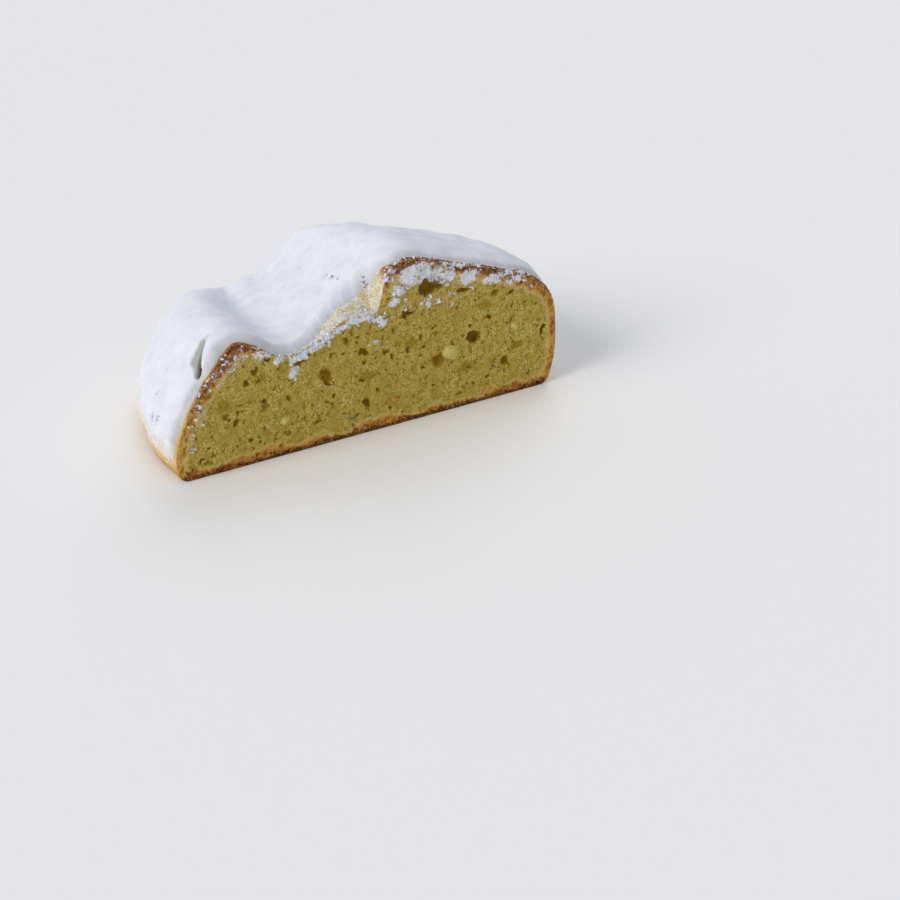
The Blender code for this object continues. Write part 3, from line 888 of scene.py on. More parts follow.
    def blurred(self, values: np.ndarray, half: int) -> np.ndarray:
        """Averages a map over a square window.

        Args:
            values: the map.
            half: the window's half width in cells.

        Returns:
            The averaged map.
        """
        width = 2 * half + 1
        for axis in (0, 1):
            pad = [(half + 1, half) if a == axis else (0, 0) for a in (0, 1)]
            sums = np.cumsum(np.pad(values, pad, mode="edge"), axis=axis)
            ends = np.take(sums, range(width, sums.shape[axis]), axis=axis)
            starts = np.take(sums, range(0, sums.shape[axis] - width), axis=axis)
            values = (ends - starts) / width
        return values

    def read(self, values: np.ndarray, x: np.ndarray, z: np.ndarray) -> np.ndarray:
        """Reads a map between its grid points.

        Args:
            values: the map.
            x: places across.
            z: heights.

        Returns:
            The map's value at each place.
        """
        column = np.clip((x - self.low[0]) / self.cell, 0.0, values.shape[1] - 1.001)
        row = np.clip((z - self.low[1]) / self.cell, 0.0, values.shape[0] - 1.001)
        j, i = column.astype(int), row.astype(int)
        u, v = column - j, row - i
        lower = values[i, j] * (1.0 - u) + values[i, j + 1] * u
        upper = values[i + 1, j] * (1.0 - u) + values[i + 1, j + 1] * u
        return lower * (1.0 - v) + upper * v


@dataclass
class BakedLoaf:
    """The loaf itself: the cut crumb, the crust round it and the dark underside, as one closed mesh."""

    form: LoafForm
    relief: CrumbRelief
    finish: CrumbFinish = CrumbFinish()
    round_steps: int = 520
    base_steps: int = 170
    # The cut's net of points: their spacing, how far each is moved as a share of it, and how far the net
    # stays off the outline, then its left end, width and height
    crumb_spacing: float = 0.28
    net_jitter: float = 0.25
    margin: float = 0.2
    net_box: tuple[float, float, float] = (-68.0, 136.0, 58.0)
    # Rings lie this far apart up to this far behind the cut, and then by number up to a share of the length
    # and on to the tip
    near_rings: tuple[float, float] = (0.36, 14.0)
    far_rings: tuple[float, int, int] = (0.55, 24, 36)
    # The crust's fine wrinkles: height and size
    wrinkles: tuple[tuple[float, float], ...] = ((0.16, 2.2), (0.1, 0.9))
    # How far the crust has sunk below the split in the sugar
    groove: float = 0.3
    # Rind at the cut by place across: thickness in millimetres, and how brown it baked, 0 to 1
    rind: tuple = (
        (-66.0, 3.4, 0.42), (-60.0, 4.4, 0.54), (-54.0, 5.0, 0.64), (-48.0, 5.9, 0.78), (-43.0, 5.0, 0.82),
        (-36.5, 2.2, 0.5), (-33.0, 1.2, 0.25), (-24.0, 0.7, 0.1), (-14.0, 0.6, 0.1), (-3.0, 0.6, 0.1),
        (3.0, 1.0, 0.2), (6.5, 6.0, 0.84), (12.0, 6.0, 0.76), (22.0, 5.0, 0.72), (36.0, 4.8, 0.76),
        (52.0, 5.6, 0.76), (60.0, 5.4, 0.62), (67.0, 3.4, 0.5),
    )
    # The underside's rind: mean thickness, how far it varies over what length, and how brown it is
    base_rind: tuple[float, float, float, float] = (3.9, 3.4, 8.0, 0.56)
    base_skin: float = 1.3
    # Sugar that has spilled over the cut: middle across and up, half sizes, and how closely it lies
    spills: tuple = (
        (16.5, 50.4, 7.6, 4.2, 0.86), (9.4, 46.4, 2.8, 2.4, 0.8), (26.0, 47.0, 6.0, 2.6, 0.74),
        (34.5, 45.2, 4.4, 2.6, 0.82), (43.5, 42.6, 5.0, 2.2, 0.66), (51.0, 40.4, 5.0, 1.8, 0.45),
        (58.0, 37.4, 3.0, 1.4, 0.3), (7.2, 52.5, 2.6, 4.0, 0.5), (28.0, 50.6, 20.0, 1.6, 0.5),
        (50.0, 43.6, 9.0, 1.6, 0.4), (8.2, 42.2, 2.2, 1.9, 0.95), (11.6, 39.2, 1.6, 0.9, 0.6),
        (-26.2, 27.6, 1.8, 2.0, 0.8), (-36.5, 36.0, 4.0, 2.2, 0.62), (-45.0, 36.2, 5.0, 3.0, 0.38),
        (-51.0, 31.5, 4.0, 4.5, 0.3), (-57.0, 23.0, 3.0, 6.0, 0.22), (-61.0, 14.0, 2.4, 6.0, 0.16),
        (3.5, 30.0, 4.0, 3.0, 0.12), (20.0, 40.0, 16.0, 3.0, 0.12), (-31.0, 33.0, 2.0, 1.2, 0.7),
    )
    # Syrup has stained the crumb: middle across and up, half sizes, and how dark
    stains: tuple = (
        (23.4, 19.2, 2.1, 2.6, 0.95), (-37.0, 28.4, 2.4, 2.0, 0.5), (-16.8, 25.2, 2.2, 1.8, 0.5),
        (52.9, 17.2, 2.4, 1.4, 0.62), (14.0, 27.0, 3.0, 2.0, 0.5), (-2.0, 20.0, 3.0, 2.2, 0.5),
        (40.0, 34.5, 2.6, 1.8, 0.48), (-50.0, 22.0, 2.0, 3.0, 0.48), (34.0, 14.0, 3.4, 1.8, 0.5),
    )
    # A place with no pit or stain is this dark, as a share of a pore's darkness
    plain_hollow: float = 0.25
    # A rope of sugar along the broken ledge's edge: across and up, then its half thickness and cover
    rope: tuple = ((-27.0, 32.0), (-20.5, 33.2), (-13.4, 36.9), (-6.6, 39.4), (0.9, 38.9), (5.6, 35.9))
    rope_half: float = 1.25
    rope_cover: float = 0.95

    def all_spills(self) -> list[tuple[float, float, float, float, float]]:
        """The spills with the rope laid as short ones along its line."""
        found = list(self.spills)
        for (ax, az), (bx, bz) in zip(self.rope, self.rope[1:]):
            for share in (0.0, 0.25, 0.5, 0.75):
                spot = (ax + (bx - ax) * share, az + (bz - az) * share)
                found.append((*spot, 1.4 * self.rope_half, self.rope_half, self.rope_cover))
        return found

    def stations(self) -> np.ndarray:
        """Shares along the loaf, close together near the cut and wider apart behind.

        Returns:
            The shares, from 0 to just short of the tip.
        """
        spacing, near_end = self.near_rings
        share, far_count, rest_count = self.far_rings
        far_end = self.form.length * share
        near = np.arange(0.0, near_end, spacing)
        far = np.linspace(near_end, far_end, far_count)
        rest_start = float(self.form.along_at(np.array([far_end]))[0])
        rest = np.linspace(rest_start, self.form.last_share, rest_count)
        return np.concatenate([self.form.along_at(near), self.form.along_at(far[:-1]), rest])

    def ring_values(self, x: np.ndarray) -> tuple[np.ndarray, np.ndarray]:
        """The rind's thickness and brownness at the cut's edge, by place across."""
        marks = np.array(self.rind)
        return np.interp(x, marks[:, 0], marks[:, 1]), np.interp(x, marks[:, 0], marks[:, 2])

    def cut(self, ring: np.ndarray) -> tuple[np.ndarray, np.ndarray]:
        """Fills the cut's outline with a close net of points.

        Args:
            ring: the outline's points across and up.

        Returns:
            The points inside, and triangles over the outline's points followed by them.
        """
        draw = np.random.default_rng(SEED + 1)
        step = self.crumb_spacing
        left, width, height = self.net_box
        rows, columns = int(height / (step * ROW_RISE)), int(width / step)
        x = left + (np.arange(columns)[None, :] + 0.5 * (np.arange(rows)[:, None] % 2)) * step
        z = np.arange(rows)[:, None] * step * ROW_RISE + np.zeros((1, columns))
        moved = draw.uniform(-self.net_jitter, self.net_jitter, (rows * columns, 2)) * step
        net = np.stack([x.ravel(), z.ravel()], 1) + moved
        net = net[self.within(net, ring)]
        count = len(ring)
        corners = [Vector(p) for p in np.concatenate([ring, net])]
        edges = [(i, (i + 1) % count) for i in range(count)]
        _, _, faces, origins, _, _ = delaunay_2d_cdt(corners, edges, [], 1, 1e-7)
        number = np.array([o[0] for o in origins])
        triangles = number[np.array(faces)]
        return net, triangles

    def within(self, places: np.ndarray, ring: np.ndarray) -> np.ndarray:
        """Whether places lie inside the outline, clear of it.

        Args:
            places: points across and up.
            ring: the outline.

        Returns:
            One truth value a place.
        """
        inside = np.zeros(len(places), bool)
        after = np.roll(ring, -1, axis=0)
        for (ax, az), (bx, bz) in zip(ring, after):
            if az != bz:
                spans = (az > places[:, 1]) != (bz > places[:, 1])
                crossing = ax + (places[:, 1] - az) * (bx - ax) / (bz - az)
                inside ^= spans & (places[:, 0] < crossing)
        _, away = self.nearest(places, ring)
        return inside & (away > self.margin)

    def nearest(self, places: np.ndarray, ring: np.ndarray) -> tuple[np.ndarray, np.ndarray]:
        """Finds the outline point nearest each place.

        Args:
            places: points across and up.
            ring: the outline.

        Returns:
            The nearest points' numbers, and the distances.
        """
        found, away = [], []
        for part in np.array_split(places, max(1, len(places) // 4000)):
            squared = ((part[:, None, :] - ring[None, :, :]) ** 2).sum(2)
            best = squared.argmin(1)
            found.append(best)
            away.append(np.sqrt(squared[np.arange(len(part)), best]))
        return np.concatenate(found), np.concatenate(away)

    def shell(self) -> tuple[np.ndarray, np.ndarray, int]:
        """Builds the crust and the underside as rings behind one another, closed at the tip.

        Returns:
            The rings' points, the triangles between them and on to the tip's point, which follows them,
            and how many points a ring has.
        """
        form = self.form
        along = self.stations()
        upper = np.linspace(0.0, 1.0, self.round_steps + 1)
        share, station = np.tile(upper, len(along)), np.repeat(along, len(upper))
        crust = form.crust(share, station).reshape(len(along), -1, 3)
        base_x = np.linspace(form.high_wall[-1][0], form.low_wall[0][0], self.base_steps + 1)[1:-1]
        base = form.shaped(np.tile(base_x, len(along)), np.zeros(len(base_x) * len(along)),
                           np.repeat(along, len(base_x))).reshape(len(along), -1, 3)
        rings = np.concatenate([crust, base], 1)
        count = rings.shape[1]
        wrap = np.arange(count)
        following = (wrap + 1) % count
        starts = (np.arange(len(along) - 1) * count)[:, None]
        a, b = (starts + wrap).ravel(), (starts + following).ravel()
        last = (len(along) - 1) * count
        cap = np.stack([last + wrap, last + following, np.full(count, len(along) * count)], 1)
        sides = [np.stack([a, b, b + count], 1), np.stack([a, b + count, a + count], 1)]
        return rings.reshape(-1, 3), np.concatenate([*sides, cap]), count

    def face_depth(self, net: np.ndarray, rind: np.ndarray, dust: np.ndarray, hills: Hills) -> np.ndarray:
        """How deep the crumb lies behind the cut, with sugar clumped on it and the peel's places kept flat.

        Args:
            net: the cut's points across and up.
            rind: the distance from each to the outline.
            dust: how closely sugar covers each.
            hills: the loaf's own hills.

        Returns:
            Depths in millimetres.
        """
        flat = on_cut(net[:, 0], net[:, 1])
        fade = smooth_step(0.0, 0.8, rind)
        depth = self.relief.read(self.relief.depth, net[:, 0], net[:, 1]) * (0.25 + 0.75 * fade)
        clump = 0.35 + 0.8 * hills.at(flat, 1.4) + 0.7 * hills.at(flat, 0.7)
        depth = depth * (1.0 - 0.4 * dust) - dust * (0.05 + 0.6 * np.maximum(0.0, clump))
        for x, z, half in self.relief.peel:
            away = np.maximum(np.abs(net[:, 0] - x), np.abs(net[:, 1] - z)) / half
            depth = np.where(away < 1.3, 0.35 + 0.3 * np.clip(depth, -1.0, 1.0), depth)
        return depth

    def face_shade_and_stain(self, net: np.ndarray, hills: Hills) -> np.ndarray:
        """How dark the painted shade in pits and pores, and the syrup stains, make the crumb.

        Args:
            net: the cut's points across and up.
            hills: the loaf's own hills.

        Returns:
            One value a point, 0 to 1.
        """
        plain = self.plain_hollow
        ragged = 0.5 * hills.at(on_cut(net[:, 0], net[:, 1]), 2.0)
        recess_shade = plain + 0.8 * self.relief.read(self.relief.recess_shade, net[:, 0], net[:, 1])
        for x, z, half_x, half_z, stained in self.stains:
            away = np.hypot((net[:, 0] - x) / half_x, (net[:, 1] - z) / half_z) + ragged
            recess_shade = np.maximum(recess_shade, plain + (stained - plain) * (1.0 - smooth_step(0.4, 1.3, away)))
        return np.clip(recess_shade, 0.0, 1.0)

    def build(self) -> bpy.types.Object:
        """Builds the loaf's mesh and its material values.

        Returns:
            The finished piece.
        """
        form, hills = self.form, Hills(SEED + 3)
        body, shell, count = self.shell()
        # The crust's fine wrinkles fade out on the floor side
        wrinkle = sum(height * hills.at(body, size) for height, size in self.wrinkles)
        rise = smooth_step(1.5, 5.0, body[:, 2]) * wrinkle
        centre = np.array([form.tip_x, 0.0, form.tip_height])
        out = (body - centre) * np.array([1.0, 0.0, 1.0])
        out /= np.maximum(1e-6, np.linalg.norm(out, axis=1, keepdims=True))
        groove = form.split_at(body, form.split, 0.3 * hills.at(body, 1.2))
        body = body + out * (rise - self.groove * groove)[:, None]
        tip = np.array([[form.tip_x, form.front_y + form.length, form.tip_height]])

        ring = body[:count, [0, 2]]
        net, face = self.cut(ring)
        offset = len(body) + 1
        face = np.where(face < count, face, face - count + offset)
        near, rind = self.nearest(net, ring)
        dust = self.face_dust(net)
        depth = self.face_depth(net, rind, dust, hills)
        cut = np.stack([net[:, 0], form.front_y + depth, net[:, 1]], 1)
        points = form.settled(np.concatenate([body, tip, cut]))
        triangles = np.concatenate([shell, face])

        # Under the split the crust is painted dark brown, as the shadow in the crack
        outside = np.maximum(self.crust_bake(body), 0.86 * groove)
        values = {
            # Painted shade in the crumb's pits and pores, together with its stains
            "hollow": np.concatenate([np.zeros(offset), self.face_shade_and_stain(net, hills)]),
            "bake": np.concatenate([outside, [0.45], self.face_bake(net, ring[near], rind)]),
            "dust": np.concatenate([self.crust_dust(body), [0.0], dust]),
        }
        piece = make_piece("baked_loaf", points, triangles, self.finish.material(), values)
        LOG.info("baked_loaf: %d triangles", len(triangles))
        return piece

    def on_ledge(self, body: np.ndarray, past: tuple[float, float]) -> np.ndarray:
        """How far places lie on the broken ledge.

        Args:
            body: the crust's points.
            past: how far behind the cut it starts and ends to fade.

        Returns:
            One value a point, 0 to 1.
        """
        start, end = self.form.ledge_across
        behind = body[:, 1] - self.form.front_y
        found = smooth_step(start - 10.0, start - 3.0, body[:, 0])
        found = found * (1.0 - smooth_step(end, end + 2.5, body[:, 0]))
        return found * (1.0 - smooth_step(*past, behind)) * smooth_step(30.0, 34.0, body[:, 2])

    def crust_bake(self, body: np.ndarray) -> np.ndarray:
        """How brown the outer crust is: golden on the low walls, brown under the sugar, dark below.

        Args:
            body: the crust's points.

        Returns:
            One value a point, 0 to 1.
        """
        hills = Hills(SEED + 4)
        blotch = 0.14 * hills.at(body, 8.0) + 0.08 * hills.at(body, 2.4)
        height = body[:, 2]
        bake = 0.3 + 0.35 * smooth_step(16.0, 34.0, height)
        foot = 1.0 - smooth_step(0.6, 4.2, height + 14.0 * blotch)
        bake = bake + (0.56 - bake) * foot
        under = 1.0 - smooth_step(0.05, 0.9, height)
        bake = bake + (0.95 - bake) * under
        ledge = self.on_ledge(body, (8.0, 13.0))
        return np.clip((bake + blotch) * (1.0 - ledge), 0.0, 1.0)

    def crust_dust(self, body: np.ndarray) -> np.ndarray:
        """How white the outer crust is with thin sugar: smeared on the walls, and thin on the ledge.

        Args:
            body: the crust's points.

        Returns:
            One value a point, 0 to 1.
        """
        hills = Hills(SEED + 5)
        # The smears run down the walls
        streak = hills.at(spread(body, (1.0, 1.0, 1.7)), 5.5)
        streak = streak + 0.6 * hills.at(spread(body, (1.0, 1.0, 1.5)), 2.0)
        height = body[:, 2]
        film = np.clip(0.12 + 0.62 * smooth_step(0.5, 11.0, height) + 0.36 * streak, 0.0, 0.9)
        film *= smooth_step(0.2, 2.5, height) * (1.0 - 0.85 * smooth_step(18.0, 30.0, height))
        # Beside the cut both walls' crust is rubbed bare
        beside = np.exp(-(body[:, 1] - self.form.front_y) / 5.0) * smooth_step(30.0, 50.0, np.abs(body[:, 0]))
        film *= 1.0 - 0.85 * beside
        ledge = self.on_ledge(body, (8.0, 12.0))
        pale = 0.44 + 0.3 * hills.at(body, 2.6)
        return film * (1.0 - ledge) + pale * ledge

    def face_bake(self, net: np.ndarray, edge: np.ndarray, rind: np.ndarray) -> np.ndarray:
        """How brown the crumb is near the cut's edge.

        Args:
            net: the cut's points across and up.
            edge: the outline point nearest each.
            rind: the distance to it.

        Returns:
            One value a point, 0 to 1.
        """
        hills = Hills(SEED + 6)
        flat = on_cut(net[:, 0], net[:, 1])
        ragged = 0.26 * hills.at(flat, 2.6) + 0.16 * hills.at(flat, 0.9)
        thick, brown = self.ring_values(edge[:, 0])
        mean, swing, length, base_brown = self.base_rind
        on_base = 1.0 - smooth_step(0.3, 1.6, edge[:, 1])
        # Read so, the hills change five times as slowly upwards
        tall = flat * np.array([1.0, 1.0, 0.2])
        base_thick = np.maximum(1.8, mean + swing * hills.at(tall, length))
        thick = thick + (base_thick - thick) * on_base
        brown = brown + (base_brown - brown) * on_base
        part = rind / thick + 0.8 * ragged
        mottle = 0.22 * hills.at(flat + 40.0, 1.6) + 0.14 * hills.at(flat + 70.0, 0.7)
        bake = (brown + mottle) * (1.0 - smooth_step(0.45, 1.15, part))
        # The underside itself is a thin dark skin below the golden band
        skin = self.base_skin * (1.0 + 0.7 * hills.at(tall + 90.0, 5.0))
        dark = on_base * (1.0 - smooth_step(0.6, 1.5, (rind + 1.4 * ragged) / skin))
        return np.clip(bake + (0.9 - bake) * dark, 0.0, 1.0)

    def face_dust(self, net: np.ndarray) -> np.ndarray:
        """How closely spilled sugar covers the cut.

        Args:
            net: the cut's points across and up.

        Returns:
            One value a point, 0 to 1.
        """
        hills = Hills(SEED + 7)
        flat = on_cut(net[:, 0], net[:, 1])
        lean = 1.1 * hills.at(flat + 15.0, 3.0)
        chance = np.zeros(len(net))
        for x, z, half_x, half_z, cover in self.all_spills():
            away = np.hypot((net[:, 0] - x + lean) / half_x, (net[:, 1] - z + lean) / half_z)
            chance = np.maximum(chance, cover * (1.0 - smooth_step(0.45, 1.2, away)))
        patchy = 0.42 * hills.at(flat, 1.3) + 0.4 * hills.at(flat, 3.0)
        return np.clip(chance * 1.05 + patchy * smooth_step(0.02, 0.4, chance) - 0.04, 0.0, 1.0)


@dataclass
class SugarCoat:
    """The sugar coat: a soft thick skin that follows the loaf, ragged at the cut, thin low on the walls."""

    form: LoafForm
    finish: SugarFinish = SugarFinish()
    thickness: float = 2.0
    gap: float = 0.45
    # The coat lies thinner at the cut over the high lobe: from and to across, share left, over what run
    thin_front: tuple[float, float, float, float] = (8.0, 20.0, 0.5, 9.0)
    # The sugar's large lumps, and its softer finer ones: height and size
    lumps: tuple[float, float] = (0.8, 9.0)
    soft: tuple[tuple[float, float], ...] = ((0.24, 7.0), (0.04, 2.6))
    # The mesh's lower edge, sunk in the crust: its height on each wall, and how far it wanders, how often
    low_edge: float = 5.0
    high_edge: float = 5.5
    edge_wander: tuple[float, float] = (2.6, 7.0)
    # The sugar's own lower edge: its height, how far its tongues hang, and over what run it thickens
    tongue_edge: tuple[float, float, float, float] = (8.5, 4.6, -1.0, 11.0)
    # How far behind the cut the sugar starts: everywhere, more on the ledge, and more on the high wall
    cut_edge: float = 0.9
    ledge_edge: float = 5.6
    high_wall_edge: float = 4.0
    # The crust is bare for this much more beside the cut on the low wall
    low_wall_bare: float = 0.9
    # It peeks out on the low lobe's shoulder too: middle across, half width, how much more
    peek: tuple[float, float, float] = (-45.5, 4.0, 1.4)
    # The mesh starts this far before the sugar does, and ends at this share along the loaf
    lead: float = 0.9
    last_along: float = 0.994
    # The split's lip stands up: across, behind the cut, half sizes, height
    lip: tuple[float, float, float, float, float] = (-48.5, 4.5, 3.0, 5.0, 1.1)
    # Small cracks in the sugar: across, behind the cut, half sizes
    cracks: tuple = (
        (-4.1, 39.9, 1.9, 0.45), (-2.9, 21.8, 0.9, 0.6), (-2.5, 17.6, 1.1, 1.3), (-1.9, 14.5, 0.7, 0.8),
        (2.0, 7.3, 1.1, 0.9), (3.0, 4.7, 0.9, 0.8), (3.4, 1.6, 0.8, 0.8), (-1.7, 6.1, 0.5, 0.5),
        (-57.3, 18.6, 0.7, 0.5), (-65.6, 13.4, 0.9, 1.0), (-65.1, 10.7, 0.8, 0.9), (-62.0, 16.0, 0.5, 0.5),
        (-33.0, 30.0, 0.5, 0.4), (24.0, 17.0, 0.5, 0.4), (38.0, 40.0, 0.8, 0.5), (-12.0, 62.0, 0.9, 0.6),
        (64.0, 30.0, 0.8, 0.8), (20.0, 68.0, 0.8, 0.6), (67.0, 14.0, 0.7, 0.9),
    )
    round_steps: int = 500
    # The inner skin, which nobody sees, has one point for this many of the outer one's, and lies this deep
    inner_stride: int = 8
    inner_depth: float = 0.7

    def rows(self) -> np.ndarray:
        """Shares of the coat's length, close together near the cut.

        Returns:
            The shares, from 0 to 1.
        """
        near = np.linspace(0.0, 0.2, 60)
        return np.concatenate([near[:-1], np.linspace(0.2, 1.0, 136)])

    def front(self, share: np.ndarray) -> np.ndarray:
        """How far behind the cut the sugar starts, before its edge is made ragged.

        Args:
            share: shares round the section.

        Returns:
            Distances in millimetres.
        """
        x = self.form.outline(share)[0]
        start, end = self.form.ledge_across
        ledge = smooth_step(start - 8.0, start + 8.0, x) * (1.0 - smooth_step(end - 1.0, end + 5.0, x))
        middle, half, more = self.peek
        peek = np.exp(-(((x - middle) / half) ** 2))
        high_wall = smooth_step(50.0, 64.0, x)
        uneven = wander(share * 23.0, 2.0, 0.5)
        edge = self.cut_edge + self.ledge_edge * ledge + more * peek
        return edge + self.high_wall_edge * high_wall + 0.5 * uneven

    def build(self) -> bpy.types.Object:
        """Builds the coat's outer and inner skins as one closed mesh.

        Returns:
            The finished piece.
        """
        form = self.form
        across = np.linspace(0.0, 1.0, self.round_steps + 1)
        length = self.rows()
        reach, often = self.edge_wander
        edge_low = self.low_edge + reach * wander(length * often, 0.3, 4.0)
        edge_high = self.high_edge + reach * wander(length * often, 8.3, 1.0)
        first = form.share_at_height(edge_low, False)
        last = form.share_at_height(edge_high, True)
        share = (first[:, None] + (last - first)[:, None] * across[None, :])
        start = form.along_at(np.maximum(0.0, self.front(share.ravel()) - self.lead)).reshape(share.shape)
        along = (start + (self.last_along - start) * length[:, None]).ravel()
        share = share.ravel()
        skin = form.crust(share, along)
        out = form.outward(share, along)
        # At the very tip every direction runs into one
        tip = smooth_step(0.92, 0.985, along)[:, None]
        out = out * (1.0 - tip) + np.array([0.0, 1.0, 0.15]) * tip
        out /= np.linalg.norm(out, axis=1, keepdims=True)
        height, crack, wet = self.height(skin, share)
        outer = skin + out * height[:, None]
        rows, columns = len(length), len(across)
        number = np.arange(rows * columns).reshape(rows, columns)
        inner_rows = np.unique(np.r_[0:rows:self.inner_stride, rows - 1])
        inner_columns = np.unique(np.r_[0:columns:self.inner_stride, columns - 1])
        kept = number[np.ix_(inner_rows, inner_columns)]
        inner = (skin - out * self.inner_depth)[kept.ravel()]
        points = form.settled(np.concatenate([outer, inner]))
        top = grid_triangles(rows, columns)
        bottom = grid_triangles(*kept.shape)[:, ::-1] + len(outer)
        rim = self.rim(number, kept, len(outer))
        triangles = np.concatenate([top, bottom, rim])
        hidden = np.zeros(len(inner))
        # Low on the walls, sugar thinner than 2.5 mm lets the dough show
        low = 1.0 - smooth_step(14.0, 24.0, skin[:, 2])
        cover = 1.0 - 0.8 * low * (1.0 - np.clip(height / 2.5, 0.0, 1.0))
        # The painted shade value goes with the cover and crack values, and stays zero on the unseen inner
        # skin
        values = {name: np.concatenate([value, hidden])
                  for name, value in (("cover", cover), ("crack", crack), ("wet", wet))}
        sugar = self.finish.material("pressed_icing_sugar")
        piece = make_piece("sugar_skin", points, triangles, sugar, values)
        LOG.info("sugar_skin: %d triangles", len(triangles))
        return piece

    def rim(self, number: np.ndarray, kept: np.ndarray, offset: int) -> np.ndarray:
        """Joins the outer skin's fine edge to the inner skin's coarse one.

        Args:
            number: the outer skin's point numbers, as rows and columns.
            kept: those of them that have a point of the inner skin under them.
            offset: the number of the inner skin's first point.

        Returns:
            Point numbers, three a row.
        """
        below = {int(n): offset + i for i, n in enumerate(kept.ravel())}
        loop = np.concatenate([number[0], number[1:, -1], number[-1, -2::-1], number[-2:0:-1, 0]])
        made = []
        under = below[int(loop[0])]
        for here, after in zip(loop, np.roll(loop, -1)):
            made.append((int(here), under, int(after)))
            if int(after) in below:
                made.append((int(after), under, below[int(after)]))
                under = below[int(after)]
        return np.array(made)

    def height(self, skin: np.ndarray, share: np.ndarray) -> tuple[np.ndarray, np.ndarray, np.ndarray]:
        """How far the sugar's surface stands over the crust, and where it is cracked or painted with shade.

        Args:
            skin: the crust's points.
            share: shares round the section.

        Returns:
            Heights in millimetres, below zero where the crust shows, how near a crack each point is, and
            how much painted shade lies on it, up to 1, or from 1 to 2 the split's crust painted dark as
            shadow.
        """
        form = self.form
        hills = Hills(SEED + 11)
        x, behind, up = skin[:, 0], skin[:, 1] - form.front_y, skin[:, 2]
        from_front = behind - self.front(share) - self.low_wall_bare * (1.0 - smooth_step(-60.0, -50.0, x))
        lumps = self.lumps[0] * swells(skin / self.lumps[1])
        soft = sum(tall * hills.at(skin, size) for tall, size in self.soft)
        across, at, half_x, half_y, tall = self.lip
        lip = tall * np.exp(-((x - across) / half_x) ** 2 - ((behind - at) / half_y) ** 2)
        full = self.gap + self.thickness + lumps + lip + soft
        first, last, left, run = self.thin_front
        thin = smooth_step(first, last, x) * (1.0 - smooth_step(0.0, run, from_front))
        full = full * (1.0 - (1.0 - left) * thin)

        ledge = smooth_step(-26.0, -12.0, x) * (1.0 - smooth_step(3.0, 8.0, x))
        ragged = 0.5 * hills.at(skin, 3.2) + 0.3 * hills.at(skin, 1.4)
        width = 1.5 + 2.4 * ledge
        inward = from_front + ragged * (0.35 + 0.9 * ledge) + 0.5
        edge = np.sqrt(smooth_step(0.0, 1.0, inward / width))

        # The lower edge hangs in uneven tongues
        tongue = 1.1 * hills.at(spread(skin, (1.0, 1.0, 1.4)), 11.0)
        tongue = tongue + 0.7 * hills.at(skin, 4.6) + 0.35 * hills.at(skin, 1.9)
        edge_height, hang, thin_end, full_start = self.tongue_edge
        level = up - edge_height + hang * tongue
        lower = smooth_step(thin_end, full_start, level)
        coat = full * edge * (0.1 + 0.9 * lower)
        coat = coat - 0.55 * (1.0 - edge) - 0.5 * (1.0 - smooth_step(-4.0, -0.5, level))

        # The split goes down to the crust, and the sugar slopes into it from the left
        uneven = 0.3 * hills.at(skin, 1.3)
        gash = form.split_at(skin, form.split, uneven)
        slope = form.split_at(skin, form.split_slope, uneven)
        coat = coat - 0.9 * slope
        coat = coat - (coat + 0.5) * gash
        # Painted shade greys the sugar beside the cut, as the shadow under its rolled edge, and on the
        # split's slope, and the split's near end is open to the crust, painted dark as shadow
        greying = 0.34 * np.exp(-np.maximum(0.0, from_front + 0.8 * ragged) / 1.3)
        wet = np.maximum(0.85 * slope, greying) + 1.9 * gash * (1.0 - smooth_step(5.4, 8.4, behind))
        crack = np.zeros(len(skin))
        for across, at, half_x, half_y in self.cracks:
            away = np.hypot((x - across) / half_x, (behind - at) / half_y)
            crack = np.maximum(crack, (1.0 - smooth_step(0.5, 1.9, away)) * (up > 4.0))
        coat = coat - 0.5 * crack * (1.0 - gash) * (0.5 + hills.at(skin, 1.2))
        return coat, crack, wet


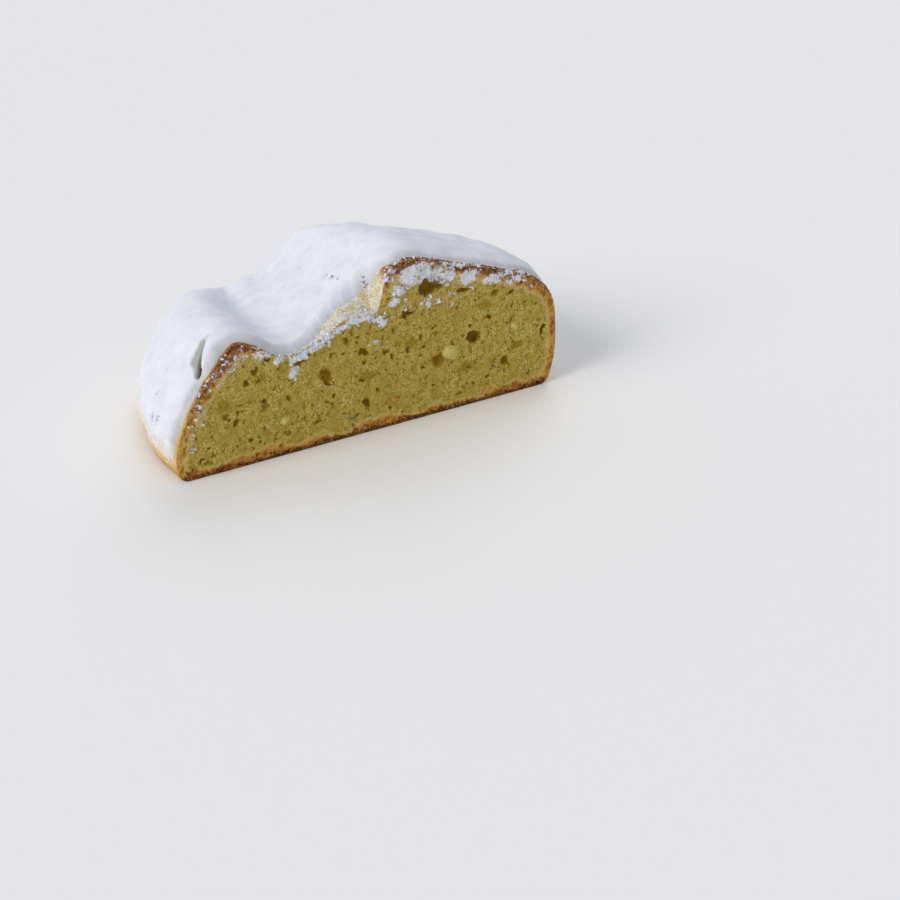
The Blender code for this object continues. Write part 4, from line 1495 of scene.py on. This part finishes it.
@dataclass
class LooseSugar:
    """Crumbs and clumps of sugar that lie on the cut, on the broken ledge and along the cut's upper rim."""

    form: LoafForm
    relief: CrumbRelief
    loaf: BakedLoaf
    finish: SugarFinish = SugarFinish()
    # Clusters for each square millimetre of a spill, and grains on the ledge
    density: float = 1.15
    ledge_grains: int = 420
    # Grains along the cut's upper rim: how many, and from and to across
    rim_grains: tuple[int, float, float] = (700, -34.0, 62.0)
    # Radii on the cut, on the ledge and along the rim: the least, how far over it, how rare large ones are
    cut_radius: tuple[float, float, float] = (0.12, 0.34, 2.6)
    ledge_radius: tuple[float, float, float] = (0.12, 0.34, 2.4)
    rim_radius: tuple[float, float, float] = (0.1, 0.24, 2.2)
    # How far behind the cut the grains lie on the ledge and along the rim, likewise
    ledge_behind: tuple[float, float, float] = (0.1, 7.0, 1.5)
    rim_behind: tuple[float, float, float] = (0.0, 1.6, 1.3)
    # How far they stand off the crust each way, as shares of their radius
    ledge_lift: tuple[float, float, float] = (0.0, 0.0, 0.3)
    rim_lift: tuple[float, float, float] = (0.0, -0.3, 0.2)
    # Lumps above this radius have more faces
    fine_radius: float = 0.22
    # A lump is this rough, and squashed by these factors each way
    rough: float = 1.1
    squash: tuple[float, float] = (0.5, 1.4)

    def spots(self) -> list[tuple[Vector, float]]:
        """Draws where the grains lie and how large they are: on the cut, on the ledge, then along the rim.

        Returns:
            Each grain's place in millimetres, in the section's numbers, and its radius.
        """
        draw = random.Random(SEED + 12)
        found = self.cut_spots(draw)
        start, end = self.form.ledge_across
        ledge = (self.ledge_grains, start - 9.0, end + 2.0)
        for grains, behind, size, lift in (
            (ledge, self.ledge_behind, self.ledge_radius, self.ledge_lift),
            (self.rim_grains, self.rim_behind, self.rim_radius, self.rim_lift),
        ):
            found += self.crust_spots(draw, grains, behind, size, lift)
        return found

    def cut_spots(self, draw: random.Random) -> list[tuple[Vector, float]]:
        """Draws clusters of grains over the spills on the cut.

        Args:
            draw: the random draw.

        Returns:
            Each grain's place and radius.
        """
        places = []
        for across, up, half_x, half_z, cover in self.loaf.all_spills():
            for _ in range(int(self.density * half_x * half_z * (0.1 + cover) + 1.0)):
                x, z = draw.gauss(across, 0.5 * half_x), draw.gauss(up, 0.5 * half_z)
                for _ in range(draw.randint(2, 6)):
                    spot = (draw.gauss(x, 0.45), draw.gauss(z, 0.4))
                    places.append((*spot, skewed(draw, *self.cut_radius)))
        # None lies above the crust's edge
        marks = np.linspace(0.12, 0.9, 400)
        rim = self.form.crust(marks, np.zeros(len(marks)))
        table = np.array(places)
        table[:, 1] = np.minimum(table[:, 1], np.interp(table[:, 0], rim[:, 0], rim[:, 2]) - 0.2)
        deep = self.relief.read(self.relief.depth, table[:, 0], table[:, 1])
        found = []
        for (x, z, radius), sunk in zip(table, deep):
            y = self.form.front_y + min(0.3, float(sunk)) - 0.6 * radius
            found.append((Vector((x, y, z)), float(radius)))
        return found

    def crust_spots(
        self,
        draw: random.Random,
        grains: tuple[int, float, float],
        behind: tuple[float, float, float],
        size: tuple[float, float, float],
        lift: tuple[float, float, float],
    ) -> list[tuple[Vector, float]]:
        """Draws grains on the crust beside the cut.

        Args:
            draw: the random draw.
            grains: how many, and from and to across.
            behind: how far behind the cut, as skewed() takes it.
            size: the radius, likewise.
            lift: how far a grain stands off the crust each way, as shares of its radius.

        Returns:
            Each grain's place and radius.
        """
        count, low, high = grains
        round_way = np.array([self.form.share_at_x(draw.uniform(low, high)) for _ in range(count)])
        along = self.form.along_at(np.array([skewed(draw, *behind) for _ in range(count)]))
        found = []
        for place in self.form.crust(round_way, along):
            radius = skewed(draw, *size)
            found.append((Vector(place) + Vector([share * radius for share in lift]), radius))
        return found

    def build(self) -> bpy.types.Object:
        """Builds all loose sugar as one mesh of small uneven lumps.

        Returns:
            The finished piece.
        """
        balls = [self.ball(level) for level in (1, 2)]
        hills = Hills(SEED + 13)
        draw = np.random.default_rng(SEED + 14)
        spots = self.spots()
        points, triangles, offset = [], [], 0
        for number, (place, radius) in enumerate(spots):
            ball, sides = balls[int(radius > self.fine_radius)]
            rough = 1.0 + self.rough * hills.at(ball + number * 3.7, 0.8)
            squash = draw.uniform(*self.squash, 3)
            points.append(np.array(place) + ball * rough[:, None] * squash * radius)
            triangles.append(sides + offset)
            offset += len(ball)
        mesh_points = self.form.settled(np.concatenate(points))
        none = np.zeros(len(mesh_points))
        values = {"cover": none + 1.0, "crack": none, "wet": none}
        piece = make_piece("loose_sugar", mesh_points, np.concatenate(triangles),
                           self.finish.material("fallen_icing_sugar"), values)
        LOG.info("loose_sugar: %d lumps, %d triangles", len(spots), sum(len(t) for t in triangles))
        return piece

    def ball(self, level: int) -> tuple[np.ndarray, np.ndarray]:
        """The points and triangles of a round lump.

        Args:
            level: 1 for 20 faces, 2 for 80.

        Returns:
            Points on a sphere of radius 1, and triangles.
        """
        lump = bmesh.new()
        bmesh.ops.create_icosphere(lump, subdivisions=level, radius=1.0)
        points = np.array([v.co[:] for v in lump.verts])
        sides = np.array([[v.index for v in f.verts] for f in lump.faces])
        lump.free()
        return points, sides


@dataclass
class CandiedPeel:
    """Small cubes of candied peel, cut through with the crumb."""

    form: LoafForm
    # Each bit: across, up, half sizes across and up, turn in degrees
    yellow: tuple = (
        (28.2, 20.4, 3.1, 2.3, 35.0), (-30.0, 12.0, 1.7, 1.2, -18.0), (52.0, 24.0, 1.5, 1.1, 40.0),
    )
    orange: tuple = ((8.0, 9.0, 1.6, 1.1, 12.0), (-50.5, 9.0, 1.2, 0.9, -35.0))
    amber: tuple = ((-41.0, 5.5, 1.0, 0.8, 60.0), (44.0, 11.5, 1.0, 0.8, 10.0))
    green: tuple = ((-8.0, 6.5, 1.8, 0.7, 12.0), (38.0, 9.5, 1.0, 0.7, -20.0))
    # Each bit's middle lies this far behind the cut, and it reaches this far before and behind that
    sunk: float = 0.85
    half_depth: float = 1.15
    # How far its edges are rounded, and how far its faces are boiled out of true over what size
    rounding: float = 0.5
    wobble: tuple[float, float] = (0.4, 1.6)

    def build(self) -> list[bpy.types.Object]:
        """Builds one mesh for each colour of peel.

        Returns:
            The finished pieces.
        """
        kinds = (
            ("yellow", self.yellow, "#d8c468"), ("orange", self.orange, "#c08a34"),
            ("amber", self.amber, "#9a6208"), ("green", self.green, "#858044"),
        )
        made = []
        for name, bits, colour in kinds:
            block = bmesh.new()
            for x, z, half_x, half_z, turn in bits:
                cube = bmesh.ops.create_cube(block, size=2.0)
                middle = Vector((x, self.form.front_y + self.sunk, z))
                place = Matrix.Translation(middle - Vector(self.form.middle))
                place = place @ Matrix.Rotation(math.radians(turn), 4, "Y")
                place = place @ Matrix.Diagonal((half_x, self.half_depth, half_z, 1.0))
                bmesh.ops.transform(block, matrix=place, verts=cube["verts"])
            bmesh.ops.bevel(block, geom=block.edges[:], offset=self.rounding, segments=3, affect="EDGES")
            bmesh.ops.subdivide_edges(block, edges=block.edges[:], cuts=1, use_grid_fill=True)
            bmesh.ops.triangulate(block, faces=block.faces[:])
            points = np.array([v.co[:] for v in block.verts])
            triangles = np.array([[v.index for v in f.verts] for f in block.faces])
            block.free()
            hills = Hills(SEED + 15)
            reach, size = self.wobble
            wobble = np.stack([hills.at(points + shift, size) for shift in (0.0, 11.0, 23.0)], 1)
            piece = make_piece("peel_" + name, points + reach * wobble, triangles,
                               PeelFinish(colour=colour).material("candied_peel_" + name))
            made.append(piece)
        LOG.info("candied peel: %d pieces", sum(len(bits) for _, bits, _ in kinds))
        return made


@dataclass
class Studio:
    """The pale floor, soft light and the camera at the photograph's angle."""

    # The camera stands this far from the floor point that it looks at
    distance: float = 520.0
    azimuth: float = -30.0
    elevation: float = 30.0
    look_at: tuple[float, float, float] = (13.3, -64.0, 0.0)
    view_angle: float = 30.0
    floor_half: float = 6000.0
    floor_colour: str = "#fbfbfb"
    # Lights: name, place in millimetres to shine from, breadth in degrees, watts a square metre, colour
    lights: tuple = (
        ("key_window", (-560.0, -60.0, 420.0), 34.0, 1.6, "#fffdf8"),
        ("front_fill", (-150.0, -700.0, 520.0), 38.0, 0.1, "#f7f9ff"),
        ("back_fill", (420.0, 500.0, 600.0), 38.0, 0.57, "#f7f9ff"),
    )
    # The lights point at the loaf's middle, and the floor lies this far under the loaf, in millimetres
    aim: tuple[float, float, float] = (0.0, 0.0, 30.0)
    floor_gap: float = 0.05
    # The room's light at the horizon and overhead, and how high it has faded to that, as a sine
    world_light: tuple[float, float] = (0.78, 0.42)
    horizon_band: float = 0.26

    def build(self) -> None:
        """Makes the floor, the lights, the world and the camera."""
        scene = bpy.context.scene
        scene.view_settings.view_transform = "Standard"
        scene.view_settings.look = "None"
        self.floor()
        for light in self.lights:
            self.lamp(*light)
        world = bpy.data.worlds.new("soft_room")
        world.use_nodes = True
        sky = world.node_tree.nodes["Background"]
        sky.inputs["Color"].default_value = linear("#f4f6fc")
        toward = add_node(world, "TexCoord", {}).outputs["Generated"]
        height = add_node(world, "SeparateXYZ", {}, {"Vector": toward}).outputs["Z"]
        glow = add_node(world, "MapRange", {"From Min": 0.0, "From Max": self.horizon_band,
                                            "To Min": self.world_light[0], "To Max": self.world_light[1]},
                        {"Value": height})
        world.node_tree.links.new(glow.outputs["Result"], sky.inputs["Strength"])
        scene.world = world
        self.camera()

    def floor(self) -> None:
        """Makes the pale matt floor."""
        half = self.floor_half
        corners = np.array([[-half, -half, 0.0], [half, -half, 0.0], [half, half, 0.0], [-half, half, 0.0]])
        paper = bpy.data.materials.new("pale_matt_floor")
        paper.use_nodes = True
        shader = paper.node_tree.nodes["Principled BSDF"]
        shader.inputs["Base Color"].default_value = linear(self.floor_colour)
        shader.inputs["Roughness"].default_value = 0.95
        corners = corners - np.array([0.0, 0.0, self.floor_gap])
        floor = make_piece("floor", corners, np.array([[0, 1, 2], [0, 2, 3]]), paper)

    def lamp(
        self,
        name: str,
        place: tuple[float, float, float],
        breadth: float,
        power: float,
        colour: str,
    ) -> None:
        """Adds one distant soft light, which falls on the whole floor alike.

        Args:
            name: the light's name.
            place: a place that it shines from towards the loaf, in millimetres.
            breadth: how wide it looks from there, in degrees.
            power: watts for each square metre.
            colour: its colour as sRGB hex.
        """
        light = bpy.data.lights.new(name, "SUN")
        light.angle = math.radians(breadth)
        light.energy = power
        light.color = linear(colour)[:3]
        lamp = bpy.data.objects.new(name, light)
        lamp.location = Vector(place) * MM
        toward = Vector([size * MM for size in self.aim]) - lamp.location
        lamp.rotation_euler = toward.to_track_quat("-Z", "Y").to_euler()
        bpy.context.scene.collection.objects.link(lamp)

    def camera(self) -> None:
        """Puts the camera at the photograph's viewing angle."""
        turn, rise = math.radians(self.azimuth), math.radians(self.elevation)
        back = Vector((math.sin(turn) * math.cos(rise), -math.cos(turn) * math.cos(rise), math.sin(rise)))
        data = bpy.data.cameras.new("camera")
        data.sensor_width = 36.0
        data.lens = data.sensor_width / 2.0 / math.tan(math.radians(self.view_angle) / 2.0)
        data.clip_start, data.clip_end = 0.01, 40.0
        camera = bpy.data.objects.new("camera", data)
        camera.location = (Vector(self.look_at) + back * self.distance) * MM
        camera.rotation_euler = (-back).to_track_quat("-Z", "Y").to_euler()
        bpy.context.scene.collection.objects.link(camera)
        bpy.context.scene.camera = camera


def main() -> None:
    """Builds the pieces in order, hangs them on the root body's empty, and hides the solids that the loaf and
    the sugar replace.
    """
    logging.basicConfig(level=logging.INFO, format="%(name)s: %(message)s")
    form = LoafForm()
    relief = CrumbRelief()
    Studio().build()
    loaf_maker = BakedLoaf(form, relief)
    loaf = loaf_maker.build()
    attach(loaf, "root")
    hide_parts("loaf")
    coat = SugarCoat(form).build()
    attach(coat, "root")
    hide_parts("sugar_coat")
    grains = LooseSugar(form, relief, loaf_maker).build()
    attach(grains, "root")
    for bit in CandiedPeel(form).build():
        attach(bit, "root")


if __name__ == "__main__":
    main()
